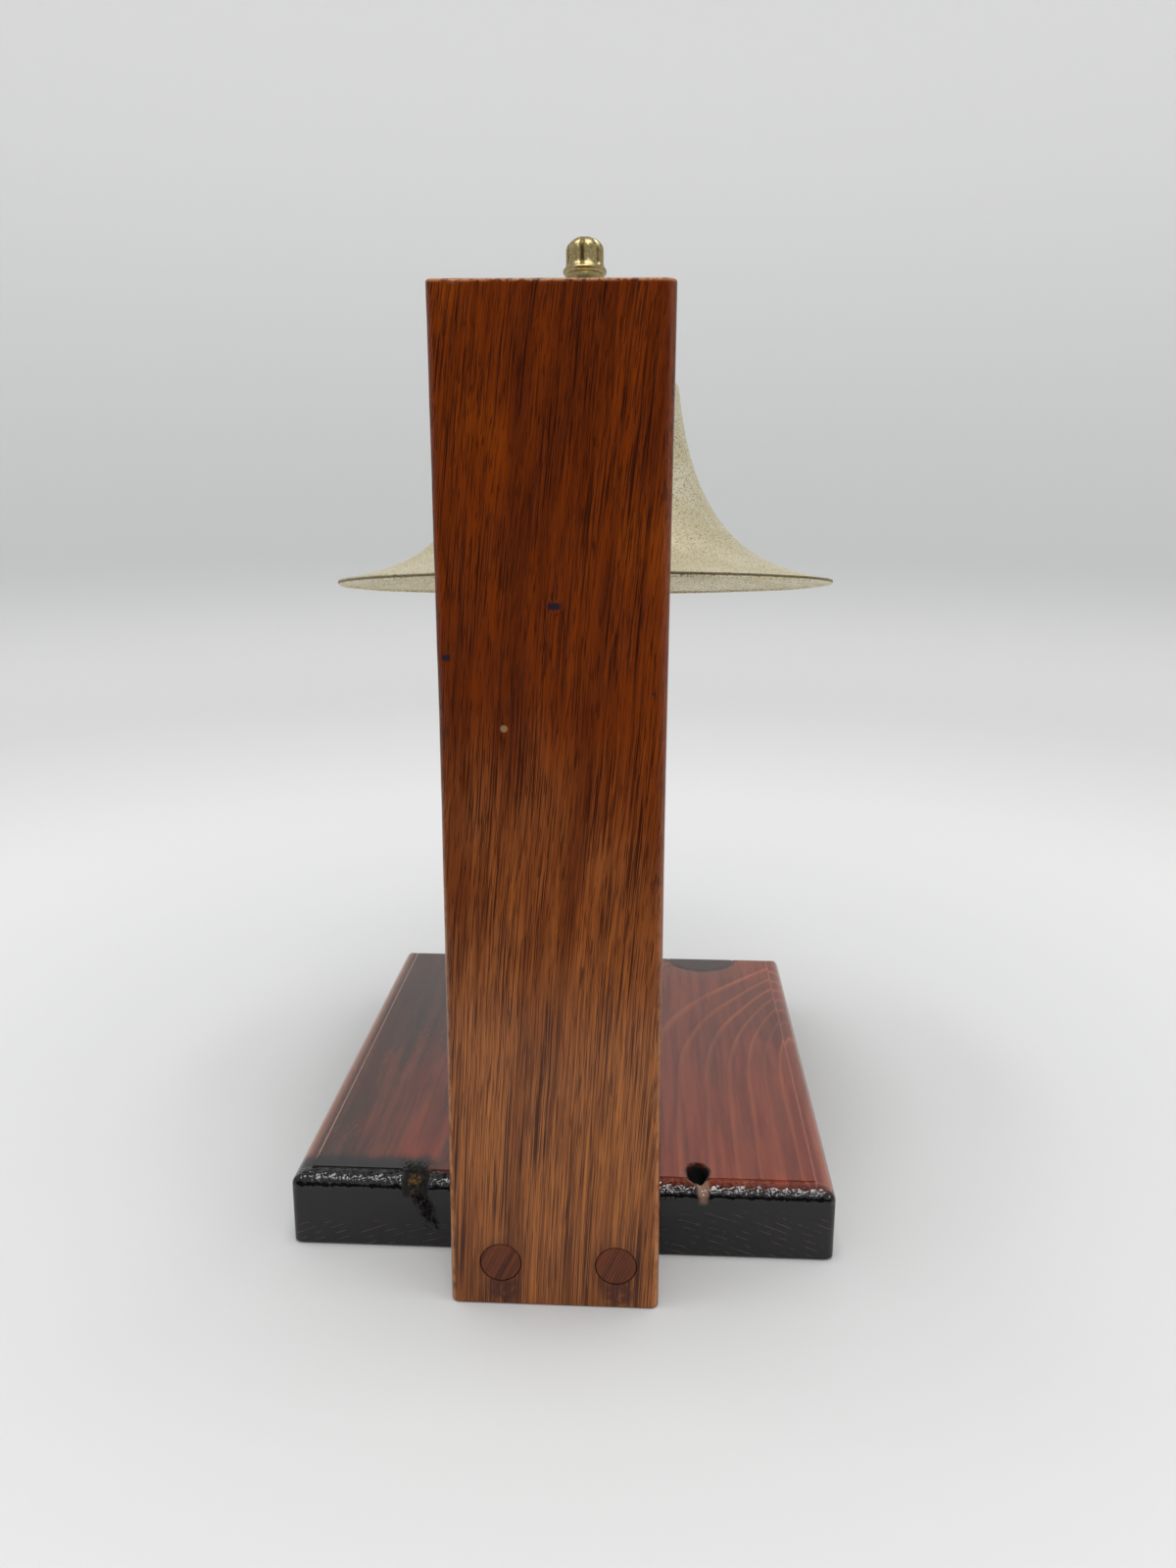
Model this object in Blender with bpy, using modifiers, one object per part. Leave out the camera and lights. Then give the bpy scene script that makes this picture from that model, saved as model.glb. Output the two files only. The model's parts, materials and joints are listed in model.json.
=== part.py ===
"""Service bell on a wooden stand.

Frame: origin at the centre of the base board's underside, +X to the right, +Y from the
upright post out over the board, +Z up.  Lengths are metres.  The post stands on the table
against the board's near end.  A bent flat bar on the post's far face carries a flared brass
bell on a threaded stud, with a finial on top and a clapper hanging inside.
"""
import math

import bmesh
import bpy
import numpy as np
from mathutils import Matrix, Vector

MM = 0.001
GAP = 0.3 * MM
WELD = 0.01 * MM
RUN_IN = 0.6 * MM

# base board
BOARD_WIDTH = 184.0 * MM
BOARD_LENGTH = 208.5 * MM
BOARD_HEIGHT = 26.0 * MM
BOARD_EDGE_ROUND = 5.2 * MM

# upright post
POST_WIDTH = 65.9 * MM
POST_THICKNESS = 28.05 * MM
POST_HEIGHT = 305.8 * MM
POST_WAIST = 0.65 * MM
POST_EDGE_ROUND = 2.4 * MM
POST_SLICES = 12
POST_FAR_Y = -BOARD_LENGTH / 2 - GAP
POST_NEAR_Y = POST_FAR_Y - POST_THICKNESS

# screws through the post into the board's end, hidden under plugs
PLUG_RADIUS = 6.35 * MM
PLUG_DEPTH = 8.0 * MM
PLUG_HEIGHT = 15.0 * MM
PLUG_X = {"left": -16.9 * MM, "right": 19.5 * MM}
BASE_SCREW_LENGTH = 50.0 * MM
BASE_SCREW_SHANK = 2.1 * MM
BASE_SCREW_HEAD = 4.2 * MM

# every wood screw: thickness of the head's rim, then shares of the shank's radius or of the length
SCREW_HEAD_RIM = 0.5 * MM
SCREW_NECK_SHARE = 0.82
SCREW_ROOT_SHARE = 0.7
SCREW_PLAIN_SHARE = 0.35
SCREW_TIP_SHARE = 4.0

# flared bell, measured up its own axis from the plane of the rim
BELL_RIM_CENTRE = Vector((2.3, 0.0, 216.7)) * MM
BELL_TILT = math.radians(7.0)
BELL_LEAN = math.radians(0.65)
BELL_RIM_RADIUS = 92.0 * MM
BELL_THROAT_RADIUS = 32.2 * MM
BELL_FLARE_SHORT = 4.23 * MM
BELL_FLARE_LONG = 25.3 * MM
BELL_FLARE_SHARE = 0.265
BELL_WALL = 1.3 * MM
BELL_SHOULDER = 4.0 * MM
BELL_HEIGHT = 73.6 * MM
BELL_CROWN_HOLE = 3.3 * MM
BELL_SEGMENTS = 48
BELL_STATIONS = 13
BELL_STATION_CROWDING = 1.9
BELL_LIP_EASE = 0.4 * MM

# stud and what is threaded on it
STUD_RADIUS = 3.0 * MM
WASHER_RADIUS = 8.0 * MM
WASHER_THICKNESS = 1.5 * MM
PAD_RADIUS = 11.0 * MM
PAD_THICKNESS = 1.0 * MM
NUT_ACROSS_FLATS = 10.0 * MM
NUT_HEIGHT = 5.0 * MM
NUT_EDGE_EASE = 0.5 * MM
EYE_CENTRE = 52.0 * MM
EYE_RADIUS = 5.0 * MM
EYE_WIRE = 1.5 * MM

# bent flat bar
BAR_WIDTH = 25.4 * MM
BAR_THICKNESS = 3.0 * MM
BAR_BEND = 12.0 * MM
BAR_OVERHANG = 14.0 * MM
BAR_CORNER = 9.0 * MM
BAR_LEG_BOTTOM = 214.0 * MM
BAR_SCREW_HEIGHTS = {"top": 287.0 * MM, "middle": 257.0 * MM, "bottom": 227.0 * MM}
BAR_SCREW_LENGTH = 20.0 * MM
BAR_SCREW_SHANK = 1.9 * MM
BAR_SCREW_HEAD = 3.9 * MM

# finial
FINIAL_TOP = 125.2 * MM
FINIAL_RING_HEIGHT = 113.0 * MM
FINIAL_RING_RADIUS = 8.05 * MM
FINIAL_RING_ROUND = 1.3 * MM
FINIAL_DOME_RADIUS = 6.95 * MM
FINIAL_DOME_FOOT = 115.2 * MM
FINIAL_DOME_SHOULDER = 120.4 * MM
FINIAL_DOME_EASE = 0.8 * MM
FINIAL_CUP_DROP = 1.5 * MM
FINIAL_CUP_EASE = 0.5 * MM
FINIAL_NECK_RADIUS = 4.6 * MM
FINIAL_NECK_RISE = 10.5 * MM
FINIAL_FOOT_RADIUS = 7.6 * MM
FINIAL_FOOT_RISE = 2.2 * MM
FINIAL_LOBES = 6
FINIAL_LOBE_DEPTH = 0.85 * MM
FINIAL_LOBE_FADE = 0.6
FINIAL_LOBE_TURN = math.radians(-90.0 - 6.7)
FINIAL_BORE_TOP = 99.0 * MM

# clapper
LINK_RADIUS = 6.0 * MM
LINK_WIRE = 1.3 * MM
CLAPPER_WIRE = 1.3 * MM
CLAPPER_LOOP = 4.5 * MM
CLAPPER_ROD = 1.6 * MM
CLAPPER_REACH = 50.0 * MM
BALL_RADIUS = 12.0 * MM
ROD_BELOW_BALL = 5.0 * MM
TAIL_LOOP = 5.2 * MM

# heights along the stud, each part resting on the one below with a working gap
PAD_Z = BELL_HEIGHT + GAP
BAR_Z = PAD_Z + PAD_THICKNESS + GAP
TOP_WASHER_Z = BAR_Z + BAR_THICKNESS + GAP
TOP_NUT_Z = TOP_WASHER_Z + WASHER_THICKNESS + GAP
FINIAL_Z = TOP_NUT_Z + NUT_HEIGHT + GAP
INNER_WASHER_Z = BELL_HEIGHT - BELL_WALL - GAP - WASHER_THICKNESS
INNER_NUT_Z = INNER_WASHER_Z - GAP - NUT_HEIGHT
STUD_TOP = FINIAL_BORE_TOP - 1.0 * MM

COLOURS = {
    "base_wood": ((0.085, 0.022, 0.016), 0.22, 0.0),
    "post_wood": ((0.16, 0.055, 0.018), 0.32, 0.0),
    "plug_wood": ((0.17, 0.055, 0.028), 0.38, 0.0),
    "bell_brass": ((0.62, 0.54, 0.33), 0.34, 1.0),
    "finial_brass": ((0.58, 0.50, 0.28), 0.26, 1.0),
    "bar_brass": ((0.55, 0.43, 0.20), 0.38, 1.0),
    "fastener_steel": ((0.45, 0.44, 0.41), 0.35, 1.0),
    "clapper_iron": ((0.07, 0.07, 0.075), 0.5, 1.0),
    "pad_rubber": ((0.02, 0.02, 0.02), 0.8, 0.0),
}


def clear_scene():
    for item in list(bpy.data.objects):
        bpy.data.objects.remove(item, do_unlink=True)


def new_collection(name):
    group = bpy.data.collections.new(name)
    bpy.context.scene.collection.children.link(group)
    return group


def new_material(name, colour, roughness, metallic):
    material = bpy.data.materials.new(name)
    material.use_nodes = True
    shader = material.node_tree.nodes["Principled BSDF"]
    shader.inputs["Base Color"].default_value = (*colour, 1.0)
    shader.inputs["Roughness"].default_value = roughness
    shader.inputs["Metallic"].default_value = metallic
    return material


clear_scene()
PARTS = new_collection("service_bell")
CUTTERS = new_collection("service_bell_cutters")
MATERIALS = {name: new_material(name, *values) for name, values in COLOURS.items()}


def add_part(name, mesh, material, parent=None, location=(0, 0, 0), rotation=(0, 0, 0)):
    """Put a mesh in the scene as one named piece with its own finish."""
    piece = bpy.data.objects.new(name, mesh)
    PARTS.objects.link(piece)
    mesh.materials.clear()
    mesh.materials.append(MATERIALS[material])
    piece.parent = parent
    piece.location = location
    piece.rotation_euler = rotation
    return piece


def add_frame(name, location, rotation=(0, 0, 0), parent=None):
    """An empty that carries the pieces built on its axes."""
    frame = bpy.data.objects.new(name, None)
    frame.empty_display_size = 0.02
    PARTS.objects.link(frame)
    frame.parent = parent
    frame.location = location
    frame.rotation_euler = rotation
    return frame


def as_cutter(piece):
    for group in list(piece.users_collection):
        group.objects.unlink(piece)
    CUTTERS.objects.link(piece)
    piece.hide_render = True
    piece.display_type = "WIRE"
    return piece


def boolean(piece, other, operation):
    step = piece.modifiers.new(other.name, "BOOLEAN")
    step.operation = operation
    step.solver = "EXACT"
    step.object = other


def smooth(piece, angle=35.0):
    piece.data.shade_smooth()
    piece.data.set_sharp_from_angle(angle=math.radians(angle))


def box_mesh(name, size, centre):
    mesh = bpy.data.meshes.new(name)
    form = bmesh.new()
    bmesh.ops.create_cube(form, size=1.0)
    bmesh.ops.scale(form, vec=size, verts=form.verts)
    bmesh.ops.translate(form, vec=centre, verts=form.verts)
    form.to_mesh(mesh)
    form.free()
    return mesh


def turned(name, profile, material, segments=24, closed=True, **place):
    """A profile of (radius, height) turned about Z by a Screw modifier."""
    mesh = bpy.data.meshes.new(name)
    count = len(profile)
    edges = [(i, i + 1) for i in range(count - 1)]
    if closed:
        edges.append((count - 1, 0))
    mesh.from_pydata([(radius, 0.0, height) for radius, height in profile], edges, [])
    piece = add_part(name, mesh, material, **place)
    screw = piece.modifiers.new("turn", "SCREW")
    screw.steps = segments
    screw.render_steps = segments
    screw.use_merge_vertices = True
    screw.merge_threshold = WELD
    screw.use_smooth_shade = True
    return piece


def freeze(piece):
    """Keep the piece's shape after its modifiers as its own mesh."""
    bpy.context.view_layer.update()
    evaluated = piece.evaluated_get(bpy.context.evaluated_depsgraph_get())
    mesh = bpy.data.meshes.new_from_object(evaluated)
    piece.modifiers.clear()
    piece.data = mesh
    return piece


def arc(centre, radius, start, end, count):
    """Points on a circle of the profile plane, from one angle to another in degrees."""
    angles = np.radians(np.linspace(start, end, count))
    return [(centre[0] + radius * math.cos(a), centre[1] + radius * math.sin(a)) for a in angles]


def ring_profile(inner, outer, low, high):
    return [(outer, high), (outer, low), (inner, low), (inner, high)]


def disc_profile(radius, low, high):
    return [(0.0, high), (radius, high), (radius, low), (0.0, low)]


def screw_profile(head, shank, length, clearance=0.0, ridges=9):
    """Countersunk wood screw pointing down -Z, its flat head at z = 0.

    With a clearance it is the plain hole that the screw sits in.
    """
    rim = -SCREW_HEAD_RIM
    cone_foot = rim - (head - shank)
    if clearance:
        outer = head + clearance
        wide = shank + clearance
        bottom = -length - clearance
        return [(0.0, clearance), (outer, clearance), (outer, rim), (wide, cone_foot),
                (wide, bottom), (0.0, bottom)]
    neck = shank * SCREW_NECK_SHARE
    root = shank * SCREW_ROOT_SHARE
    thread_top = -length * SCREW_PLAIN_SHARE
    half_pitch = (length - SCREW_TIP_SHARE * shank + thread_top) / ridges / 2.0
    points = [(0.0, 0.0), (head, 0.0), (head, rim), (neck, cone_foot), (neck, thread_top)]
    for i in range(ridges):
        crest = thread_top - (2 * i + 1) * half_pitch
        points.append((shank, crest))
        points.append((root, crest - half_pitch))
    points.append((0.0, -length))
    return points


def hexagon_nut(name, low, parent, material="bell_brass"):
    """A hexagon of the nut's width across flats, bored for the stud."""
    mesh = bpy.data.meshes.new(name)
    form = bmesh.new()
    corner = NUT_ACROSS_FLATS / math.sqrt(3.0)
    bmesh.ops.create_cone(form, cap_ends=True, segments=6, radius1=corner, radius2=corner,
                          depth=NUT_HEIGHT)
    bmesh.ops.translate(form, vec=(0, 0, low + NUT_HEIGHT / 2), verts=form.verts)
    form.to_mesh(mesh)
    form.free()
    nut = add_part(name, mesh, material, parent=parent)
    bevel = nut.modifiers.new("corners", "BEVEL")
    bevel.width = NUT_EDGE_EASE
    bevel.segments = 2
    bore_profile = disc_profile(STUD_RADIUS + GAP, low - MM, low + NUT_HEIGHT + MM)
    bore = as_cutter(turned(name + "_bore", bore_profile, material, segments=20, closed=False,
                            parent=parent))
    boolean(nut, bore, "DIFFERENCE")
    return nut


def bell_outer_radius(height):
    """Radius of the bell's outside: a throat plus two decays, a short one at the lip and a long one."""
    span = BELL_RIM_RADIUS - BELL_THROAT_RADIUS
    short = BELL_FLARE_SHARE * math.exp(-height / BELL_FLARE_SHORT)
    long = (1.0 - BELL_FLARE_SHARE) * math.exp(-height / BELL_FLARE_LONG)
    return BELL_THROAT_RADIUS + span * (short + long)


def bell_profile():
    """Outside from the crown hole over the shoulder to the lip, then the inside back up."""
    shoulder_z = BELL_HEIGHT - BELL_SHOULDER
    shoulder_r = bell_outer_radius(shoulder_z)
    centre = (shoulder_r - BELL_SHOULDER, shoulder_z)
    shares = 1.0 - np.arange(1, BELL_STATIONS + 1) / BELL_STATIONS
    heights = shoulder_z * shares ** BELL_STATION_CROWDING
    outer = np.array([(bell_outer_radius(h), h) for h in heights])
    slope = np.gradient(outer, axis=0)
    normal = np.stack([-slope[:, 1], slope[:, 0]], axis=1)
    normal /= np.linalg.norm(normal, axis=1)[:, None]
    inner = outer - BELL_WALL * normal
    inner[-1] = (outer[-1][0] - BELL_LIP_EASE, -BELL_WALL)
    inner_arc = arc(centre, BELL_SHOULDER - BELL_WALL, 0, 90, 4)
    profile = [(BELL_CROWN_HOLE, BELL_HEIGHT)]
    profile += arc(centre, BELL_SHOULDER, 90, 0, 5)
    profile += [tuple(point) for point in outer]
    profile += [tuple(point) for point in inner[::-1]]
    profile += inner_arc
    profile.append((BELL_CROWN_HOLE, BELL_HEIGHT - BELL_WALL))
    return profile


def finial_profile():
    """Bored foot, waisted neck, flaring cup, rounded ring, then the dome that takes the lobes."""
    bore = STUD_RADIUS + GAP
    foot_top = FINIAL_Z + FINIAL_FOOT_RISE
    neck_z = FINIAL_Z + FINIAL_NECK_RISE
    cup_z = FINIAL_RING_HEIGHT - FINIAL_CUP_DROP
    cup_top = FINIAL_RING_RADIUS - FINIAL_CUP_EASE
    ring_centre = (FINIAL_RING_RADIUS - FINIAL_RING_ROUND, FINIAL_RING_HEIGHT)
    points = [(0.0, FINIAL_TOP)]
    rise = FINIAL_TOP - FINIAL_DOME_SHOULDER
    for angle in np.radians(np.linspace(80, 0, 9)):
        height = FINIAL_DOME_SHOULDER + rise * math.sin(angle)
        points.append((FINIAL_DOME_RADIUS * math.cos(angle), height))
    points.append((FINIAL_DOME_RADIUS, (FINIAL_DOME_SHOULDER + FINIAL_DOME_FOOT) / 2 + MM))
    points.append((FINIAL_DOME_RADIUS, FINIAL_DOME_FOOT + FINIAL_DOME_EASE))
    points.append((FINIAL_DOME_RADIUS - FINIAL_DOME_EASE, FINIAL_DOME_FOOT))
    points += arc(ring_centre, FINIAL_RING_ROUND, 60, -50, 6)
    for share in np.linspace(0.0, 1.0, 9)[1:-1]:
        radius = cup_radius(share, cup_top, FINIAL_NECK_RADIUS)
        points.append((radius, cup_z + (neck_z - cup_z) * share))
    for share in np.linspace(0.0, 1.0, 6):
        radius = FINIAL_NECK_RADIUS + (FINIAL_FOOT_RADIUS - FINIAL_NECK_RADIUS) * share ** 2
        points.append((radius, neck_z + (foot_top - neck_z) * share))
    points += [(FINIAL_FOOT_RADIUS, FINIAL_Z), (bore, FINIAL_Z), (bore, FINIAL_BORE_TOP),
               (0.0, FINIAL_BORE_TOP)]
    return points


def cup_radius(share, top, neck):
    """An S-shaped easing from the ring's underside to the neck."""
    eased = share * share * (3.0 - 2.0 * share)
    return top + (neck - top) * eased


def scallop_dome(piece):
    """Draw the dome in along equally spaced grooves, leaving round lobes between them."""
    full_depth_radius = FINIAL_LOBE_FADE * FINIAL_DOME_RADIUS
    for vertex in piece.data.vertices:
        height = vertex.co.z
        radius = math.hypot(vertex.co.x, vertex.co.y)
        if height < FINIAL_DOME_FOOT - WELD or radius < GAP:
            continue
        angle = math.atan2(vertex.co.y, vertex.co.x) - FINIAL_LOBE_TURN
        groove = 1.0 - abs(math.sin(angle * FINIAL_LOBES / 2.0))
        depth = FINIAL_LOBE_DEPTH * groove ** 1.5 * min(1.0, radius / full_depth_radius)
        share = (radius - depth) / radius
        vertex.co.x *= share
        vertex.co.y *= share


def ring_mesh(name, ring, wire, plane, ring_steps=24, wire_steps=8):
    """A closed ring of round wire, its axis along X or Y."""
    turn = Matrix.Rotation(math.pi / 2, 4, {"YZ": "Y", "XZ": "X"}[plane])
    bpy.ops.mesh.primitive_torus_add(major_radius=ring, minor_radius=wire, major_segments=ring_steps,
                                     minor_segments=wire_steps)
    torus = bpy.context.object
    mesh = torus.data.copy()
    mesh.name = name
    bpy.data.objects.remove(torus, do_unlink=True)
    mesh.transform(turn)
    return mesh


def outline_solid(name, points, half_width, material, parent):
    """A flat outline in the YZ plane, given thickness both ways along X."""
    curve = bpy.data.curves.new(name, "CURVE")
    curve.dimensions = "2D"
    curve.fill_mode = "BOTH"
    curve.extrude = half_width
    line = curve.splines.new("POLY")
    line.points.add(len(points) - 1)
    for point, (across, up) in zip(line.points, points):
        point.co = (across, up, 0.0, 1.0)
    line.use_cyclic_u = True
    drawn = bpy.data.objects.new(name + "_outline", curve)
    PARTS.objects.link(drawn)
    bpy.context.view_layer.update()
    evaluated = drawn.evaluated_get(bpy.context.evaluated_depsgraph_get())
    mesh = bpy.data.meshes.new_from_object(evaluated)
    bpy.data.objects.remove(drawn, do_unlink=True)
    form = bmesh.new()
    form.from_mesh(mesh)
    bmesh.ops.remove_doubles(form, verts=form.verts, dist=WELD)
    form.to_mesh(mesh)
    form.free()
    stand = Matrix(((0, 0, 1, 0), (1, 0, 0, 0), (0, 1, 0, 0), (0, 0, 0, 1)))
    mesh.transform(stand)
    return add_part(name, mesh, material, parent=parent)


def build_board():
    mesh = box_mesh("base_board", (BOARD_WIDTH, BOARD_LENGTH, BOARD_HEIGHT), (0, 0, BOARD_HEIGHT / 2))
    form = bmesh.new()
    form.from_mesh(mesh)
    top = [e for e in form.edges if all(v.co.z > BOARD_HEIGHT / 2 for v in e.verts)]
    bmesh.ops.bevel(form, geom=top, offset=BOARD_EDGE_ROUND, segments=6, profile=0.5, affect="EDGES")
    form.to_mesh(mesh)
    form.free()
    return add_part("base_board", mesh, "base_wood")


def build_post():
    centre = (0, POST_NEAR_Y + POST_THICKNESS / 2, POST_HEIGHT / 2)
    mesh = box_mesh("upright_post", (POST_WIDTH, POST_THICKNESS, POST_HEIGHT), centre)
    form = bmesh.new()
    form.from_mesh(mesh)
    for i in range(1, POST_SLICES):
        bmesh.ops.bisect_plane(form, geom=form.verts[:] + form.edges[:] + form.faces[:],
                               plane_co=(0, 0, POST_HEIGHT * i / POST_SLICES), plane_no=(0, 0, 1))
    for vertex in form.verts:
        draw_in = POST_WAIST * max(0.0, math.sin(math.pi * vertex.co.z / POST_HEIGHT)) ** 1.5
        vertex.co.x -= math.copysign(draw_in, vertex.co.x)
    form.to_mesh(mesh)
    form.free()
    post = add_part("upright_post", mesh, "post_wood")
    bevel = post.modifiers.new("worn_edges", "BEVEL")
    bevel.width = POST_EDGE_ROUND
    bevel.segments = 3
    bevel.limit_method = "ANGLE"
    bevel.angle_limit = math.radians(60)
    return post


def build_base_joint(post, board):
    """Two countersunk screws through the post into the board's end, each under a wooden plug."""
    to_far = (math.pi / 2, 0, 0)
    for side, x in PLUG_X.items():
        near = (x, POST_NEAR_Y, PLUG_HEIGHT)
        head_y = POST_NEAR_Y + PLUG_DEPTH + GAP
        turned("screw_plug_" + side, disc_profile(PLUG_RADIUS, -PLUG_DEPTH, 0.0), "plug_wood",
               segments=32, closed=False, location=near, rotation=to_far)
        seat = (x, head_y, PLUG_HEIGHT)
        turned("base_screw_" + side, screw_profile(BASE_SCREW_HEAD, BASE_SCREW_SHANK, BASE_SCREW_LENGTH),
               "fastener_steel", segments=12, closed=False, location=seat, rotation=to_far)
        pocket = as_cutter(turned("plug_pocket_" + side,
                                  disc_profile(PLUG_RADIUS + GAP, -PLUG_DEPTH - GAP, MM), "post_wood",
                                  segments=32, closed=False, location=near, rotation=to_far))
        hole = as_cutter(turned("base_screw_hole_" + side,
                                screw_profile(BASE_SCREW_HEAD, BASE_SCREW_SHANK, BASE_SCREW_LENGTH, GAP),
                                "post_wood", segments=16, closed=False, location=seat, rotation=to_far))
        boolean(post, pocket, "DIFFERENCE")
        boolean(post, hole, "DIFFERENCE")
        boolean(board, hole, "DIFFERENCE")


def bar_centre_line():
    """The bar's middle line in the YZ plane, measured from the bell's rim centre.

    It runs from the free end in over the bell, up at the bell's tilt, round one bend and down the post.
    """
    out = np.array([math.cos(BELL_TILT), -math.sin(BELL_TILT)])
    up = np.array([math.sin(BELL_TILT), math.cos(BELL_TILT)])
    over_bell = up * (BAR_Z + BAR_THICKNESS / 2)
    leg_y = POST_FAR_Y + GAP + BAR_THICKNESS / 2 - BELL_RIM_CENTRE.y
    corner = over_bell - out * (over_bell[0] - leg_y) / out[0]
    turn = math.pi / 2 + BELL_TILT
    reach = BAR_BEND * math.tan(turn / 2)
    bend_start = corner + out * reach
    centre = bend_start - up * BAR_BEND
    line = [over_bell + out * BAR_OVERHANG, bend_start]
    start = math.pi / 2 - BELL_TILT
    for i in range(1, 11):
        angle = start + turn * i / 10.0
        line.append(centre + BAR_BEND * np.array([math.cos(angle), math.sin(angle)]))
    line.append(np.array([leg_y, BAR_LEG_BOTTOM - BELL_RIM_CENTRE.z]))
    return np.array(line)


def build_bar(lean_frame, bell_frame, post):
    line = bar_centre_line()
    along = np.gradient(line, axis=0)
    along[0], along[1] = line[1] - line[0], line[1] - line[0]
    along[-1], along[-2] = line[-1] - line[-2], line[-1] - line[-2]
    along /= np.linalg.norm(along, axis=1)[:, None]
    side = np.stack([-along[:, 1], along[:, 0]], axis=1) * BAR_THICKNESS / 2
    outline = np.concatenate([line + side, (line - side)[::-1]])
    bar = outline_solid("hanger_bar", outline, BAR_WIDTH / 2, "bar_brass", lean_frame)
    form = bmesh.new()
    form.from_mesh(bar.data)
    short = []
    for edge in form.edges:
        a, b = edge.verts
        middle = (a.co + b.co) / 2
        at_end = min(abs(middle.y - line[0][0]), abs(middle.z - line[-1][1])) < MM
        level = abs(a.co.x - b.co.x) < WELD
        as_long_as_thick = abs((a.co - b.co).length - BAR_THICKNESS) < GAP
        if at_end and level and as_long_as_thick:
            short.append(edge)
    bmesh.ops.bevel(form, geom=short, offset=BAR_CORNER, segments=6, profile=0.5, affect="EDGES")
    form.to_mesh(bar.data)
    form.free()
    bore_profile = disc_profile(STUD_RADIUS + GAP, BAR_Z - MM, BAR_Z + BAR_THICKNESS + MM)
    stud_hole = as_cutter(turned("bar_stud_hole", bore_profile, "bar_brass", segments=20,
                                 closed=False, parent=bell_frame))
    boolean(bar, stud_hole, "DIFFERENCE")
    face_y = POST_FAR_Y + GAP + BAR_THICKNESS
    for place, height in BAR_SCREW_HEIGHTS.items():
        lean_shift = (height - BELL_RIM_CENTRE.z) * math.tan(BELL_LEAN)
        seat = (BELL_RIM_CENTRE.x - lean_shift, face_y, height)
        to_near = (-math.pi / 2, 0, 0)
        turned("bar_screw_" + place,
               screw_profile(BAR_SCREW_HEAD, BAR_SCREW_SHANK, BAR_SCREW_LENGTH, ridges=6),
               "fastener_steel", segments=12, closed=False, location=seat, rotation=to_near)
        hole = as_cutter(turned("bar_screw_hole_" + place,
                                screw_profile(BAR_SCREW_HEAD, BAR_SCREW_SHANK, BAR_SCREW_LENGTH, GAP),
                                "bar_brass", segments=16, closed=False, location=seat, rotation=to_near))
        boolean(bar, hole, "DIFFERENCE")
        boolean(post, hole, "DIFFERENCE")
    return bar


def build_bell_stack(bell_frame):
    """The bell and everything threaded on its stud, in order up the axis."""
    bell = turned("bell_shell", bell_profile(), "bell_brass", segments=BELL_SEGMENTS, parent=bell_frame)
    smooth(freeze(bell))
    bore = STUD_RADIUS + GAP
    turned("crown_pad", ring_profile(bore, PAD_RADIUS, PAD_Z, PAD_Z + PAD_THICKNESS), "pad_rubber",
           segments=28, parent=bell_frame)
    for name, low in (("bar_washer", TOP_WASHER_Z), ("inner_washer", INNER_WASHER_Z)):
        turned(name, ring_profile(bore, WASHER_RADIUS, low, low + WASHER_THICKNESS), "bell_brass",
               segments=28, parent=bell_frame)
    hexagon_nut("bar_nut", TOP_NUT_Z, bell_frame)
    hexagon_nut("inner_nut", INNER_NUT_Z, bell_frame)
    finial = turned("finial", finial_profile(), "finial_brass", segments=48, closed=False,
                    parent=bell_frame)
    freeze(finial)
    scallop_dome(finial)
    smooth(finial, 50)
    eye = add_part("eye_bolt", ring_mesh("eye_bolt", EYE_RADIUS, EYE_WIRE, "YZ"), "bell_brass",
                   parent=bell_frame, location=(0, 0, EYE_CENTRE))
    stud_profile = disc_profile(STUD_RADIUS, EYE_CENTRE + EYE_RADIUS - RUN_IN, STUD_TOP)
    shank = as_cutter(turned("eye_bolt_stud", stud_profile, "bell_brass", segments=20, closed=False,
                             parent=bell_frame))
    boolean(eye, shank, "UNION")


def joined_wire(name, shapes, material, parent):
    """One solid from rings and rods that run into each other."""
    first = add_part(name, shapes[0], material, parent=parent)
    for number, mesh in enumerate(shapes[1:]):
        other = as_cutter(add_part(name + "_joint_%d" % number, mesh, material, parent=parent))
        boolean(first, other, "UNION")
    return first


def rod_mesh(name, radius, low, high, segments=14):
    mesh = bpy.data.meshes.new(name)
    form = bmesh.new()
    bmesh.ops.create_cone(form, cap_ends=True, segments=segments, radius1=radius, radius2=radius,
                          depth=high - low)
    bmesh.ops.translate(form, vec=(0, 0, (low + high) / 2), verts=form.verts)
    form.to_mesh(mesh)
    form.free()
    return mesh


def moved(mesh, height):
    mesh.transform(Matrix.Translation((0, 0, height)))
    return mesh


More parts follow.
